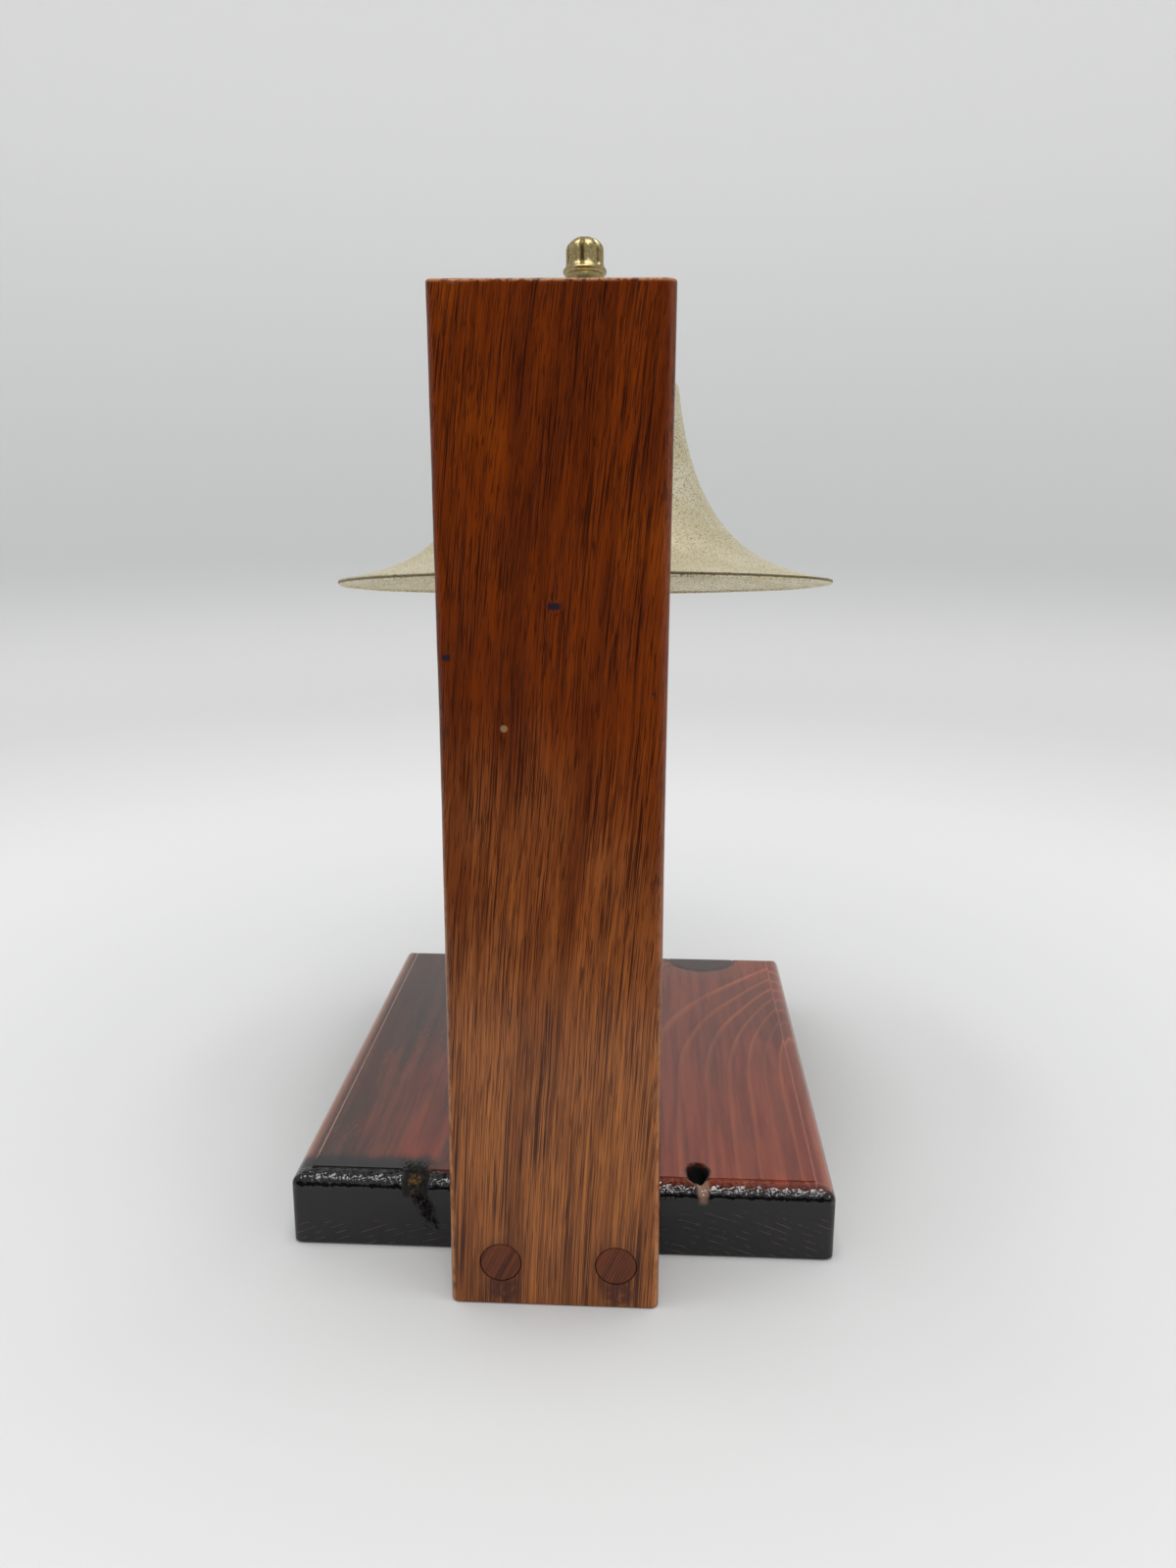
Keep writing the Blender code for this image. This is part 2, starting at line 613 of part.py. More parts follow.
def build_clapper(bell_frame):
    """A link in the bolt's eye, and the clapper's wire looped through the link, both hanging plumb.

    The link's frame is on the lowest wire of the eye, where it swings from side to side about Y.
    The clapper's frame is on the lowest wire of the link, where it swings to and fro about X.
    """
    bpy.context.view_layer.update()
    eye_centre = bell_frame.matrix_world @ Vector((0, 0, EYE_CENTRE))
    sideways = Vector((math.sin(BELL_LEAN), 0, -math.cos(BELL_LEAN)))
    link_pivot = add_frame("link_pivot", eye_centre + sideways * EYE_RADIUS)
    link_top = EYE_WIRE + LINK_WIRE + GAP
    link_centre = link_top - LINK_RADIUS
    add_part("clapper_link", moved(ring_mesh("clapper_link", LINK_RADIUS, LINK_WIRE, "XZ"), link_centre),
             "bell_brass", parent=link_pivot)
    clapper_pivot = add_frame("clapper_pivot", (0, 0, link_centre - LINK_RADIUS), parent=link_pivot)
    loop_top = LINK_WIRE + CLAPPER_WIRE + GAP
    loop_centre = loop_top - CLAPPER_LOOP
    rod_top = loop_centre - CLAPPER_LOOP + RUN_IN
    rod_low = -CLAPPER_REACH - BALL_RADIUS - ROD_BELOW_BALL
    tail_centre = rod_low - TAIL_LOOP + RUN_IN
    loop = moved(ring_mesh("loop", CLAPPER_LOOP, CLAPPER_WIRE, "YZ"), loop_centre)
    rod = rod_mesh("rod", CLAPPER_ROD, rod_low, rod_top)
    tail = moved(ring_mesh("tail", TAIL_LOOP, CLAPPER_WIRE, "YZ", 20, 8), tail_centre)
    joined_wire("clapper_rod", [loop, rod, tail], "clapper_iron", clapper_pivot)
    bore = CLAPPER_ROD + GAP
    bore_angle = math.degrees(math.acos(bore / BALL_RADIUS))
    profile = arc((0.0, -CLAPPER_REACH), BALL_RADIUS, bore_angle, -bore_angle, 15)
    ball = turned("clapper_ball", profile, "bell_brass", segments=24, parent=clapper_pivot)
    smooth(freeze(ball))


def build():
    post = build_post()
    board = build_board()
    build_base_joint(post, board)
    lean_frame = add_frame("bell_lean", BELL_RIM_CENTRE, (0, -BELL_LEAN, 0))
    bell_frame = add_frame("bell_axis", (0, 0, 0), (-BELL_TILT, 0, 0), parent=lean_frame)
    build_bar(lean_frame, bell_frame, post)
    build_bell_stack(bell_frame)
    build_clapper(bell_frame)


build()
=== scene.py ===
# %% [markdown]
# # A service bell on a wooden stand
# The bell hangs from a bent brass bar on the far side of an upright post. The post is varnished
# open-pored hardwood, the board is stained pine under thick gloss lacquer. Every piece below is a
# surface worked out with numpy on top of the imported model, which says where each one goes.

import json
import math

import bpy
import numpy as np
from mathutils import Matrix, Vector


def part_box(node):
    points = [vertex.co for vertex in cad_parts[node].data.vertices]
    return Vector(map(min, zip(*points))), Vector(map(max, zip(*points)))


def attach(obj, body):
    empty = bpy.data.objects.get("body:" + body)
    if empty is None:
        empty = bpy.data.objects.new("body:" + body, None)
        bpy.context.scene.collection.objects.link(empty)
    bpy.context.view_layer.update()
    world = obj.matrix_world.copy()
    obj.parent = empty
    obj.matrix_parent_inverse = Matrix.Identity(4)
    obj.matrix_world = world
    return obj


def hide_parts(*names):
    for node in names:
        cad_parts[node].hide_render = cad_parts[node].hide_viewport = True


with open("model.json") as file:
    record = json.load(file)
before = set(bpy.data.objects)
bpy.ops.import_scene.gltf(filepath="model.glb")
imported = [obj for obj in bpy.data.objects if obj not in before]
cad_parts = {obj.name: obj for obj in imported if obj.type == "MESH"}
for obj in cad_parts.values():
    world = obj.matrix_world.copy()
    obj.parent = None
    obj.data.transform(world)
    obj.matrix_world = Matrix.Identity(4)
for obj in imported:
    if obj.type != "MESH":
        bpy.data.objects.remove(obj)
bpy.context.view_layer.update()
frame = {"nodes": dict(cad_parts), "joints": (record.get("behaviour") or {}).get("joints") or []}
MM = 0.001
TURN = 2.0 * math.pi

# %% [markdown]
# ## Reading places from the frame
# The bell hangs slightly out of true, so its parts are built on the bell's own axis. Two washers are
# threaded on the stud, one inside the bell and one above it, and the line between their middles is
# that axis. Heights on it are counted from the plane of the rim, where the bell is widest.


# %% Corner points, the bell's axis and measures along it
def corners(node):
    """All corner points of a CAD node as a (count, 3) array in metres."""
    mesh = frame["nodes"][node].data
    flat = np.empty(len(mesh.vertices) * 3, np.float32)
    mesh.vertices.foreach_get("co", flat)
    return flat.reshape(-1, 3).astype(float)


def middle(node):
    """The middle of a CAD node's box, in metres."""
    points = corners(node)
    return (points.min(0) + points.max(0)) / 2.0


def unit(vector):
    """A vector divided by its own length."""
    return np.asarray(vector, float) / np.linalg.norm(vector)


AXIS = unit(middle("bar_washer") - middle("inner_washer"))
ACROSS = unit(np.array([1.0, 0.0, 0.0]) - AXIS[0] * AXIS)
BACKWARD = np.cross(AXIS, ACROSS)
STUD_POINT = middle("inner_washer")


def on_axis(points):
    """(radius, height, angle) of points about the bell's axis, height from the stud point."""
    offset = points - STUD_POINT
    height = offset @ AXIS
    side = offset - height[:, None] * AXIS
    return np.linalg.norm(side, axis=1), height, np.arctan2(side @ BACKWARD, side @ ACROSS)


shell_radius, shell_height, _ = on_axis(corners("bell_shell"))
RIM_RADIUS = shell_radius.max()
RIM_CENTRE = STUD_POINT + AXIS * shell_height[shell_radius.argmax()]


def span(node):
    """Lowest and highest height of a node above the rim plane, and its largest radius."""
    radius, height, _ = on_axis(corners(node))
    height = height + (STUD_POINT - RIM_CENTRE) @ AXIS
    return height.min(), height.max(), radius.max()


def bell_to_world(points):
    """Points given as across, backward and height on the bell's axis, placed in the row frame."""
    return RIM_CENTRE + points @ np.stack([ACROSS, BACKWARD, AXIS])


print("rim radius %.2f mm at" % (RIM_RADIUS / MM), np.round(RIM_CENTRE / MM, 2))
print("axis", np.round(AXIS, 4))

# %% [markdown]
# ## Camera
# The stand is seen from behind its post, a little above the middle and from close by, so the post
# narrows towards the table. The camera is a phone's: a short lens, a slight roll and no shift.

# %% Camera
CAMERA_PLACE = np.array([27.6, -475.6, 255.9]) * MM
CAMERA_PITCH = math.radians(13.896)
CAMERA_YAW = math.radians(-2.903)
CAMERA_ROLL = math.radians(0.183)
LENS_MM = 28.57

level_right = np.array([math.cos(CAMERA_YAW), -math.sin(CAMERA_YAW), 0.0])
level_ahead = np.array([math.sin(CAMERA_YAW), math.cos(CAMERA_YAW), 0.0])
tilted_up = math.sin(CAMERA_PITCH) * level_ahead + math.cos(CAMERA_PITCH) * np.array([0.0, 0.0, 1.0])
right = math.cos(CAMERA_ROLL) * level_right + math.sin(CAMERA_ROLL) * tilted_up
up = math.cos(CAMERA_ROLL) * tilted_up - math.sin(CAMERA_ROLL) * level_right
turn = np.stack([right, up, np.cross(right, up)], axis=1)

camera_data = bpy.data.cameras.new("camera")
camera_data.lens = LENS_MM
camera_data.sensor_width = 36.0
camera = bpy.data.objects.new("camera", camera_data)
bpy.context.scene.collection.objects.link(camera)
camera.matrix_world = Matrix.Translation(CAMERA_PLACE) @ Matrix(turn.tolist()).to_4x4()
bpy.context.scene.camera = camera
bpy.context.scene.view_settings.view_transform = "Standard"

# %% [markdown]
# ## From a grid of points to a mesh
# Every new piece is a grid: rows run along a profile or a path, columns run round it. The mesh
# joins neighbours with four-sided faces. A ring of columns closes on itself, a loop of rows can too,
# and an open end is closed with a fan to its middle, so each piece is one closed skin.


# %% Grid to mesh
CREASE = 40.0


def grid_faces(rows, columns, close_rows, close_columns):
    """Corner numbers of the quads between neighbouring points of a rows by columns grid."""
    index = np.arange(rows * columns).reshape(rows, columns)
    if close_rows:
        index = np.vstack([index, index[:1]])
    if close_columns:
        index = np.hstack([index, index[:, :1]])
    quads = [index[:-1, :-1], index[:-1, 1:], index[1:, 1:], index[1:, :-1]]
    return np.stack(quads, axis=-1).reshape(-1, 4)


def closed_volume(points, faces):
    """Signed volume: a sixth of the triple product of each triangle's corners, summed."""
    total = 0.0
    for corners_of in faces:
        block = points[np.asarray(corners_of)]
        for k in range(1, block.shape[1] - 1):
            total += np.einsum("ij,ij->", block[:, 0], np.cross(block[:, k], block[:, k + 1]))
    return total / 6.0


def outward_mesh(name, points, faces):
    """A mesh of the points whose faces are turned round if its signed volume is below zero."""
    if closed_volume(points, faces) < 0.0:
        faces = [block[:, ::-1] for block in faces]
    mesh = bpy.data.meshes.new(name)
    mesh.from_pydata(points.tolist(), [], [face for block in faces for face in block.tolist()])
    return mesh


def build_piece(name, points, faces, material, body, slot, replaces=(), crease=CREASE):
    """One finished piece: its mesh in the row frame, faces outward, riding on a CAD body."""
    mesh = outward_mesh(name, points, faces)
    mesh.materials.append(material)
    mesh.shade_smooth()
    mesh.set_sharp_from_angle(angle=math.radians(crease))
    piece = bpy.data.objects.new(name, mesh)
    bpy.context.scene.collection.objects.link(piece)
    if body is None:
        return piece
    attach(piece, body)
    if replaces:
        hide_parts(*replaces)
    print("%-20s %6d points" % (name, len(points)))
    return piece


def skin(grid, close_rows=False):
    """Points and faces of a grid whose columns close; open ends get a fan to their middle."""
    rows, columns = grid.shape[:2]
    points = grid.reshape(-1, 3)
    faces = [grid_faces(rows, columns, close_rows, True)]
    if not close_rows:
        ring = np.arange(columns)
        first = len(points)
        points = np.vstack([points, grid[0].mean(0), grid[-1].mean(0)])
        start = np.stack([ring, np.full(columns, first), np.roll(ring, -1)], axis=1)
        last_ring = ring + (rows - 1) * columns
        end = np.stack([np.roll(last_ring, -1), np.full(columns, first + 1), last_ring], axis=1)
        faces.append(np.vstack([start, end]))
    return points, faces


print("a ring of 3 rows by 4 columns has", len(grid_faces(3, 4, False, True)), "faces")

# %% [markdown]
# ## Shader maths as Python
# A node tree is easier to read as an expression. A Flow wraps one socket. Adding, scaling or
# raising it adds a Math node, and every other node comes from its one method, node.


# %% The Flow class
class Flow:
    """One shader socket that Python's arithmetic works on."""

    def __init__(self, tree, socket=None):
        """Keep the tree to add nodes to and the socket the value comes from."""
        self.tree = tree
        self.socket = socket

    def node(self, kind, settings=None, inputs=None, output=0):
        """A node of a kind: its settings first, then the values or links of its sockets."""
        made = self.tree.nodes.new(kind)
        for name, value in (settings or {}).items():
            setattr(made, name, value)
        for key, value in (inputs or {}).items():
            if isinstance(value, Flow):
                self.tree.links.new(value.socket, made.inputs[key])
            else:
                made.inputs[key].default_value = value
        return Flow(self.tree, made.outputs[output])

    def maths(self, operation, first, second=0.0):
        """A Math node of one operation on two values."""
        return self.node("ShaderNodeMath", {"operation": operation}, {0: first, 1: second})

    def __add__(self, other):
        """Sum."""
        return self.maths("ADD", self, other)

    def __radd__(self, other):
        """Sum with a plain number first."""
        return self.maths("ADD", other, self)

    def __sub__(self, other):
        """Difference."""
        return self.maths("SUBTRACT", self, other)

    def __rsub__(self, other):
        """A plain number less this value."""
        return self.maths("SUBTRACT", other, self)

    def __mul__(self, other):
        """Product."""
        return self.maths("MULTIPLY", self, other)

    def __rmul__(self, other):
        """Product with a plain number first."""
        return self.maths("MULTIPLY", other, self)

    def __truediv__(self, other):
        """Quotient."""
        return self.maths("DIVIDE", self, other)

    def __rtruediv__(self, other):
        """A plain number over this value."""
        return self.maths("DIVIDE", other, self)

    def __pow__(self, other):
        """This value raised to a power."""
        return self.maths("POWER", self, other)

    def __mod__(self, other):
        """What is left above the last whole multiple of other."""
        return self.maths("FLOORED_MODULO", self, other)

    def __abs__(self):
        """Size without sign."""
        return self.maths("ABSOLUTE", self)

    def most(self, other):
        """The larger of the two."""
        return self.maths("MAXIMUM", self, other)

    def step(self, low, high):
        """0 below low, 1 above high, and a smooth rise between; low may be the larger."""
        return self.node("ShaderNodeMapRange", {"interpolation_type": "SMOOTHSTEP"},
                         {"Value": self, "From Min": low, "From Max": high})

    def stretched(self, factors):
        """A vector with each part multiplied by its own factor."""
        return self.node("ShaderNodeVectorMath", {"operation": "MULTIPLY"}, {0: self, 1: factors})

    def parts(self):
        """The three numbers of a vector, each as a Flow."""
        split = self.node("ShaderNodeSeparateXYZ", inputs={0: self})
        return tuple(Flow(self.tree, out) for out in split.socket.node.outputs)

    def joined(self, x, y, z):
        """A vector of three numbers or Flows."""
        return self.node("ShaderNodeCombineXYZ", inputs={0: x, 1: y, 2: z})

    def noise(self, scale, detail=3.0, roughness=0.5):
        """Smooth noise of about 0.2 to 0.8, its lumps one over scale apart."""
        return self.node("ShaderNodeTexNoise", inputs={"Vector": self, "Scale": scale, "Detail": detail,
                                                       "Roughness": roughness})

    def cells(self, scale):
        """Distance to the nearest of a scatter of points."""
        return self.node("ShaderNodeTexVoronoi", inputs={"Vector": self, "Scale": scale})

    def blend(self, first, second):
        """Colours mixed by this factor."""
        return self.node("ShaderNodeMix", {"data_type": "RGBA"}, {0: self, 6: first, 7: second}, output=2)

    def tinted(self, colour, share):
        """This colour mixed with another by a fixed share."""
        return self.node("ShaderNodeMix", {"data_type": "RGBA"}, {0: share, 6: self, 7: colour}, output=2)

    def bump(self, distance, strength=1.0):
        """A Normal that this height tilts; distance is the height of 1 in metres."""
        inputs = {"Height": self, "Distance": distance, "Strength": strength}
        return self.node("ShaderNodeBump", inputs=inputs)


def new_finish(name, **fixed):
    """A Principled material and a Flow of its Object coordinates in millimetres."""
    material = bpy.data.materials.new(name)
    material.use_nodes = True
    tree = material.node_tree
    shader = tree.nodes["Principled BSDF"]
    for label, value in fixed.items():
        shader.inputs[label.replace("_", " ")].default_value = value
    place = Flow(tree).node("ShaderNodeTexCoord", output=3).stretched((1000.0, 1000.0, 1000.0))
    return material, shader, place


def feed(shader, **links):
    """Link each Flow to the shader's socket of that name."""
    for label, flow in links.items():
        flow.tree.links.new(flow.socket, shader.inputs[label.replace("_", " ")])


def rgb(red, green, blue):
    """A colour given as the 0 to 255 values of a colour picker, turned to linear light."""
    share = np.array([red, green, blue]) / 255.0
    linear = np.where(share <= 0.04045, share / 12.92, ((share + 0.055) / 1.055) ** 2.4)
    return (*linear.tolist(), 1.0)


print("mid grey is %.3f in linear light" % rgb(128, 128, 128)[0])

# %% [markdown]
# ## The table and the tent
# The bell stands in a light tent: a white sweep under it and soft light from above. A plain
# plane would end in a hard horizon, so the sweep is a bowl, a flat floor that turns up to a wall, and
# every side of the stand has the same ground. Higher up it glows, where lamps shine through the cloth.

# %% Ground
BOWL_FLOOR = 0.95
BOWL_BEND = 0.55
BOWL_HEIGHT = 1.5
BEND_ROWS = 16
BOWL_COLUMNS = 96


def ground_material():
    """White cloth with painted shade near the stand and up the wall, glowing higher where lamps shine through
    it.
    """
    material, shader, place = new_finish("white_sweep", Roughness=0.9, Specular_IOR_Level=0.2,
                                         Emission_Strength=1.0)
    x, y, z = place.parts()
    far = ((x * x + y * y) ** 0.5).step(80.0, 560.0)
    glow = z.step(-60.0, 950.0).blend(rgb(14, 14, 14), rgb(128, 128, 127))
    # Painted shade: the cloth is darker near the stand and up the wall than on the far floor.
    floor = far.blend(rgb(214, 215, 215), rgb(242, 242, 242))
    feed(shader, Base_Color=z.step(20.0, 160.0).blend(floor, rgb(214, 215, 215)), Emission_Color=glow)
    material.cycles.emission_sampling = "NONE"
    return material


def build_ground():
    """A flat disc that turns up in a quarter circle to a wall, swept round the Z axis."""
    bend = np.linspace(0.0, math.pi / 2, BEND_ROWS)
    radius = np.concatenate([[0.02, 0.5], BOWL_FLOOR + BOWL_BEND * np.sin(bend), [BOWL_FLOOR + BOWL_BEND]])
    height = np.concatenate([[0.0, 0.0], BOWL_BEND * (1.0 - np.cos(bend)), [BOWL_HEIGHT]])
    angle = np.linspace(0.0, TURN, BOWL_COLUMNS + 1)[:-1]
    grid = np.stack([radius[:, None] * np.cos(angle), radius[:, None] * np.sin(angle),
                     np.repeat(height[:, None], len(angle), 1)], axis=-1)
    points = np.vstack([grid.reshape(-1, 3), [[0.0, 0.0, 0.0]]])
    ring = np.arange(len(angle))
    centre = np.stack([ring, np.roll(ring, -1), np.full(len(ring), len(points) - 1)], axis=1)
    build_piece("ground", points, [grid_faces(len(radius), len(angle), False, True)[:, ::-1], centre],
                ground_material(), None, None)


build_ground()
print("sweep: %.2f m of flat floor, wall at %.2f m" % (BOWL_FLOOR, BOWL_FLOOR + BOWL_BEND))

# %% [markdown]
# ## Dark cards
# Varnish and brass look flat when everything round them is white. A studio stands black cards in
# front of the object, which show only as dark reflections. These two, one lying and one standing, are
# hidden from the camera and cast no shadow, so they change nothing but the reflections.

# %% Dark cards
def build_card(name, low, high):
    """A black rectangle from one corner to the other, flat or upright, seen only in reflections."""
    material, shader, _ = new_finish(name, Base_Color=rgb(14, 14, 15), Roughness=1.0, Specular_IOR_Level=0.0)
    low = np.array(low)
    size = np.array(high) - low
    lying = size[2] < MM
    shares = np.array([[0, 0, 0], [1, 0, 0], [1, 1, 0], [0, 1, 0]] if lying else
                      [[0, 0, 0], [1, 0, 0], [1, 0, 1], [0, 0, 1]])
    card = build_piece(name, low + shares * size, [np.array([[0, 1, 2, 3]])], material, None, None)
    card.visible_camera = False
    card.visible_diffuse = False
    card.visible_shadow = False


build_card("card_floor", (-1.2, -1.3, 0.002), (1.2, -0.36, 0.002))
build_card("card_room", (-1.2, -0.98, 0.0), (1.2, -0.98, 0.62))
print("two dark cards in front of the stand")

# %% [markdown]
# ## Lamps
# A soft lamp close over the stand draws the highlights on the rounded edge and the bell, two narrow
# ones beside it break them up, and one in front lifts the post's near face. The world's own white
# fills the shadows. Each lamp is a rectangle turned to look at a point on the stand.

# %% Lamps and world light
LAMPS = {
    # name: (place, aimed at, width, depth, power in watts), lengths in metres
    "lamp_top": ((0.0, -0.10, 1.15), (0.0, -0.05, 0.0), 0.30, 0.22, 2.7),
    "lamp_left": ((-0.32, -0.14, 1.10), (0.0, -0.1, 0.0), 0.14, 0.36, 1.5),
    "lamp_right": ((0.26, -0.14, 1.10), (0.0, -0.1, 0.0), 0.14, 0.36, 1.5),
    "lamp_front": ((0.1, -0.75, 1.15), (0.0, -0.05, 0.12), 0.42, 0.22, 2.1),
}
WORLD_STRENGTH = 0.57


def build_lamp(name, place, aim, width, depth, power):
    """A rectangle lamp at a place, its back turned away from the point it is aimed at."""
    light = bpy.data.lights.new(name, "AREA")
    light.shape = "RECTANGLE"
    light.size = width
    light.size_y = depth
    light.energy = power
    lamp = bpy.data.objects.new(name, light)
    bpy.context.scene.collection.objects.link(lamp)
    back = unit(np.array(place) - np.array(aim))
    side = unit(np.cross([0.0, 1.0, 0.001], back))
    turned_to = np.stack([side, np.cross(back, side), back], axis=1)
    lamp.matrix_world = Matrix.Translation(place) @ Matrix(turned_to.tolist()).to_4x4()


for name, settings in LAMPS.items():
    build_lamp(name, *settings)
world = bpy.data.worlds.new("tent")
world.use_nodes = True
background = world.node_tree.nodes["Background"]
background.inputs["Color"].default_value = (1.0, 1.0, 1.0, 1.0)
background.inputs["Strength"].default_value = WORLD_STRENGTH
bpy.context.scene.world = world
print(len(LAMPS), "lamps")

# %% [markdown]
# ## Varnished post wood
# The post is an open-pored tropical hardwood: fine fibres that lean a few degrees, soft darker bands,
# and pores, which are thin dark lines a few millimetres to some centimetres long. All of it is noise
# stretched along the grain. The fibres are drawn on slanted coordinates, so the same material gives
# streaks on the sides and dots on the sawn ends. The wood is darker towards the top and lighter low
# down, partly its own tone and partly painted light from the bright table below. Its corners, rubbed
# thin, are paler low down.

# %% Hardwood finish
GRAIN_SLANT = 0.03
GRAIN_CURVE = 0.00016
GRAIN_SHORTENING = 0.005
PLUG_SLANT = 0.48
PLUG_SHIFT = 57.0
PLUG_WARMTH = 0.75


def hardwood(name, slant, shift, warmth, marks):
    """Fibres, bands and pores along Z, slanted in X; shift moves the pattern to other wood."""
    material, shader, place = new_finish(name, Specular_IOR_Level=0.24)
    x, y, z = place.parts()
    drift = place.stretched((0.3, 0.3, 1.0)).noise(0.008, 2.0) * 4.5
    lateral = x - z * slant - z * z * GRAIN_CURVE + drift + shift
    along = z + z * z * GRAIN_SHORTENING
    fine = place.joined(lateral, y + shift, along * 0.004).noise(3.6, 3.0, 0.6)
    strands = place.joined(lateral, y, along * 0.008 + shift).noise(1.15, 3.0, 0.6)
    bands = place.joined(lateral, y, z * 0.09 + shift).noise(0.11, 3.0, 0.6)
    patches = place.joined(x * 0.6, y, z * 0.5 + shift).noise(0.035, 2.0, 0.5)
    crowd = place.joined(lateral, y, z * 0.25 + 7.0).noise(0.13, 2.0, 0.5).step(0.30, 0.60)
    long_pores = place.joined(lateral, y + 31.0, along * 0.0035).noise(3.4, 1.0, 0.4).step(0.54, 0.60)
    short_pores = place.joined(lateral, y + 11.0, along * 0.012).noise(3.6, 1.0, 0.4).step(0.57, 0.63)
    pores = long_pores * crowd

    # Painted light: lighter low down, partly the wood's own tone and partly the table's bright bounce painted
    # in.
    low = (z + (patches - 0.5) * 130.0).step(200.0, 60.0)
    ground = low.blend(rgb(122, 50, 3), rgb(174, 106, 55))
    amber = (patches.step(0.50, 0.64) * 0.6).blend(ground, low.blend(rgb(142, 65, 4), rgb(180, 110, 52)))
    reddish = amber.tinted(rgb(96, 34, 22), warmth)
    banded = (bands.step(0.44, 0.66) * (0.56 - low * 0.16)).blend(reddish, rgb(82, 28, 4))
    strand_colour = low.blend(rgb(82, 30, 4), rgb(106, 54, 30))
    stranded = (strands.step(0.42, 0.62) * (0.42 - low * 0.16)).blend(banded, strand_colour)
    fibre_colour = low.blend(rgb(80, 29, 4), rgb(76, 36, 22))
    fibred = (fine.step(0.40, 0.66) * (0.26 + low * 0.34)).blend(stranded, fibre_colour)
    pore_colour = low.blend(rgb(44, 13, 2), rgb(44, 17, 10))
    pored = (pores.most(short_pores * 0.80) * 0.86).blend(fibred, pore_colour)
    colour, hollow = marks(place, pored)
    rough = 0.15 + fine * 0.10
    relief = 1.0 - pores * 0.8 - short_pores * 0.4 - fine * 0.25 - hollow
    feed(shader, Base_Color=colour, Roughness=rough, Normal=relief.bump(0.00010, 0.45))
    return material


def no_marks(place, colour):
    """Wood left as it is."""
    return colour, 0.0


plug_wood = hardwood("plug_wood", PLUG_SLANT, PLUG_SHIFT, PLUG_WARMTH, no_marks)
print(plug_wood.name, "has", len(plug_wood.node_tree.nodes), "nodes")

# %% [markdown]
# ## Marks on the post
# A post that is handled gets small dents, painted dark here, and its varnish rubs thin on the arrises,
# where the wood shows paler. A pale broken line along the top edge is a painted highlight. Stain has
# run from under the plugs. Each mark is a soft ellipse on the near face, laid over the finished grain,
# so the grain itself stays one recipe for post and plugs.

# %% Post wood with its marks
POST_LOW, POST_HIGH = [np.array(v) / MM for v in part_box("upright_post")]
POST_MIDDLE_Y = (POST_LOW[1] + POST_HIGH[1]) / 2.0
DARK_DENT_SPOTS = ((0.6, 221.0, 2.0, 1.1), (-29.7, 206.5, 1.2, 0.9), (28.3, 197.0, 0.3, 0.5))
VARNISH_BEAD = (-13.6, 186.6)
STAIN_RUNS = (-16.0, 20.4)


def spot(place, x, z, wide, tall, soft=0.35):
    """1 inside an ellipse on the XZ plane, 0 outside, with a soft edge."""
    px, _, pz = place.parts()
    distance = (((px - x) / wide) ** 2.0 + ((pz - z) / tall) ** 2.0) ** 0.5
    return distance.step(1.0 + soft, 1.0 - soft)


def post_marks(place, colour):
    """Dents, a paler rub on the low corners, a painted top-edge highlight, and stain run from under the
    plugs.
    """
    x, y, z = place.parts()
    edge = abs(x).step(31.0, 32.2) * abs(y - POST_MIDDLE_Y).step(12.2, 13.6)
    rubbed = edge * z.step(215.0, 120.0) * place.noise(0.16, 3.0).step(0.36, 0.58)
    colour = (edge * x.step(0.0, 10.0) * 0.6).blend(colour, rgb(168, 88, 48))
    # Painted highlight: a pale broken line along the top edge, where the varnished edge catches the light.
    top_edge_highlight = z.step(POST_HIGH[2] - 1.2, POST_HIGH[2] - 0.4) * place.noise(0.5, 3.0, 0.6).step(0.40, 0.50)
    colour = (rubbed.most(top_edge_highlight * 0.8) * 0.75).blend(colour, rgb(192, 134, 84))
    on_back = y.step(-131.0, -132.2)
    hollow = 0.0
    for px, pz, wide, tall in DARK_DENT_SPOTS:
        # Each dent is painted a bluish black.
        dent = spot(place, px, pz, wide, tall) * on_back
        colour = (dent * 0.9).blend(colour, rgb(34, 30, 44))
        hollow = hollow + dent
    bead = spot(place, *VARNISH_BEAD, 1.0, 1.0) * on_back
    colour = (bead * 0.85).blend(colour, rgb(150, 118, 82))
    for px in STAIN_RUNS:
        run = spot(place, px, 5.4, 5.0, 5.2, 0.45) * on_back * place.noise(0.5, 3.0).step(0.22, 0.5)
        colour = (run * 0.80).blend(colour, rgb(66, 32, 28))
        ring = spot(place, px - 0.9, 15.0, 8.6, 8.6, 0.30) * on_back
        colour = (ring * 0.28).blend(colour, rgb(70, 34, 24))
    return colour, hollow


post_wood = hardwood("post_wood", GRAIN_SLANT, 0.0, 0.0, post_marks)
print("post from z = 0 to %.1f mm, middle y = %.2f mm" % (POST_HIGH[2], POST_MIDDLE_Y))

# %% [markdown]
# ## Rounded rectangles
# The post and the bar have the same kind of section, a rectangle with rounded corners. It is kept as two
# lists: which corner of an inner rectangle a point belongs to, from -1 to 1 each way, and the direction
# in which the rounding pushes it out. A point is the corner times half the size, plus the direction
# times the radius, and both may change from row to row.

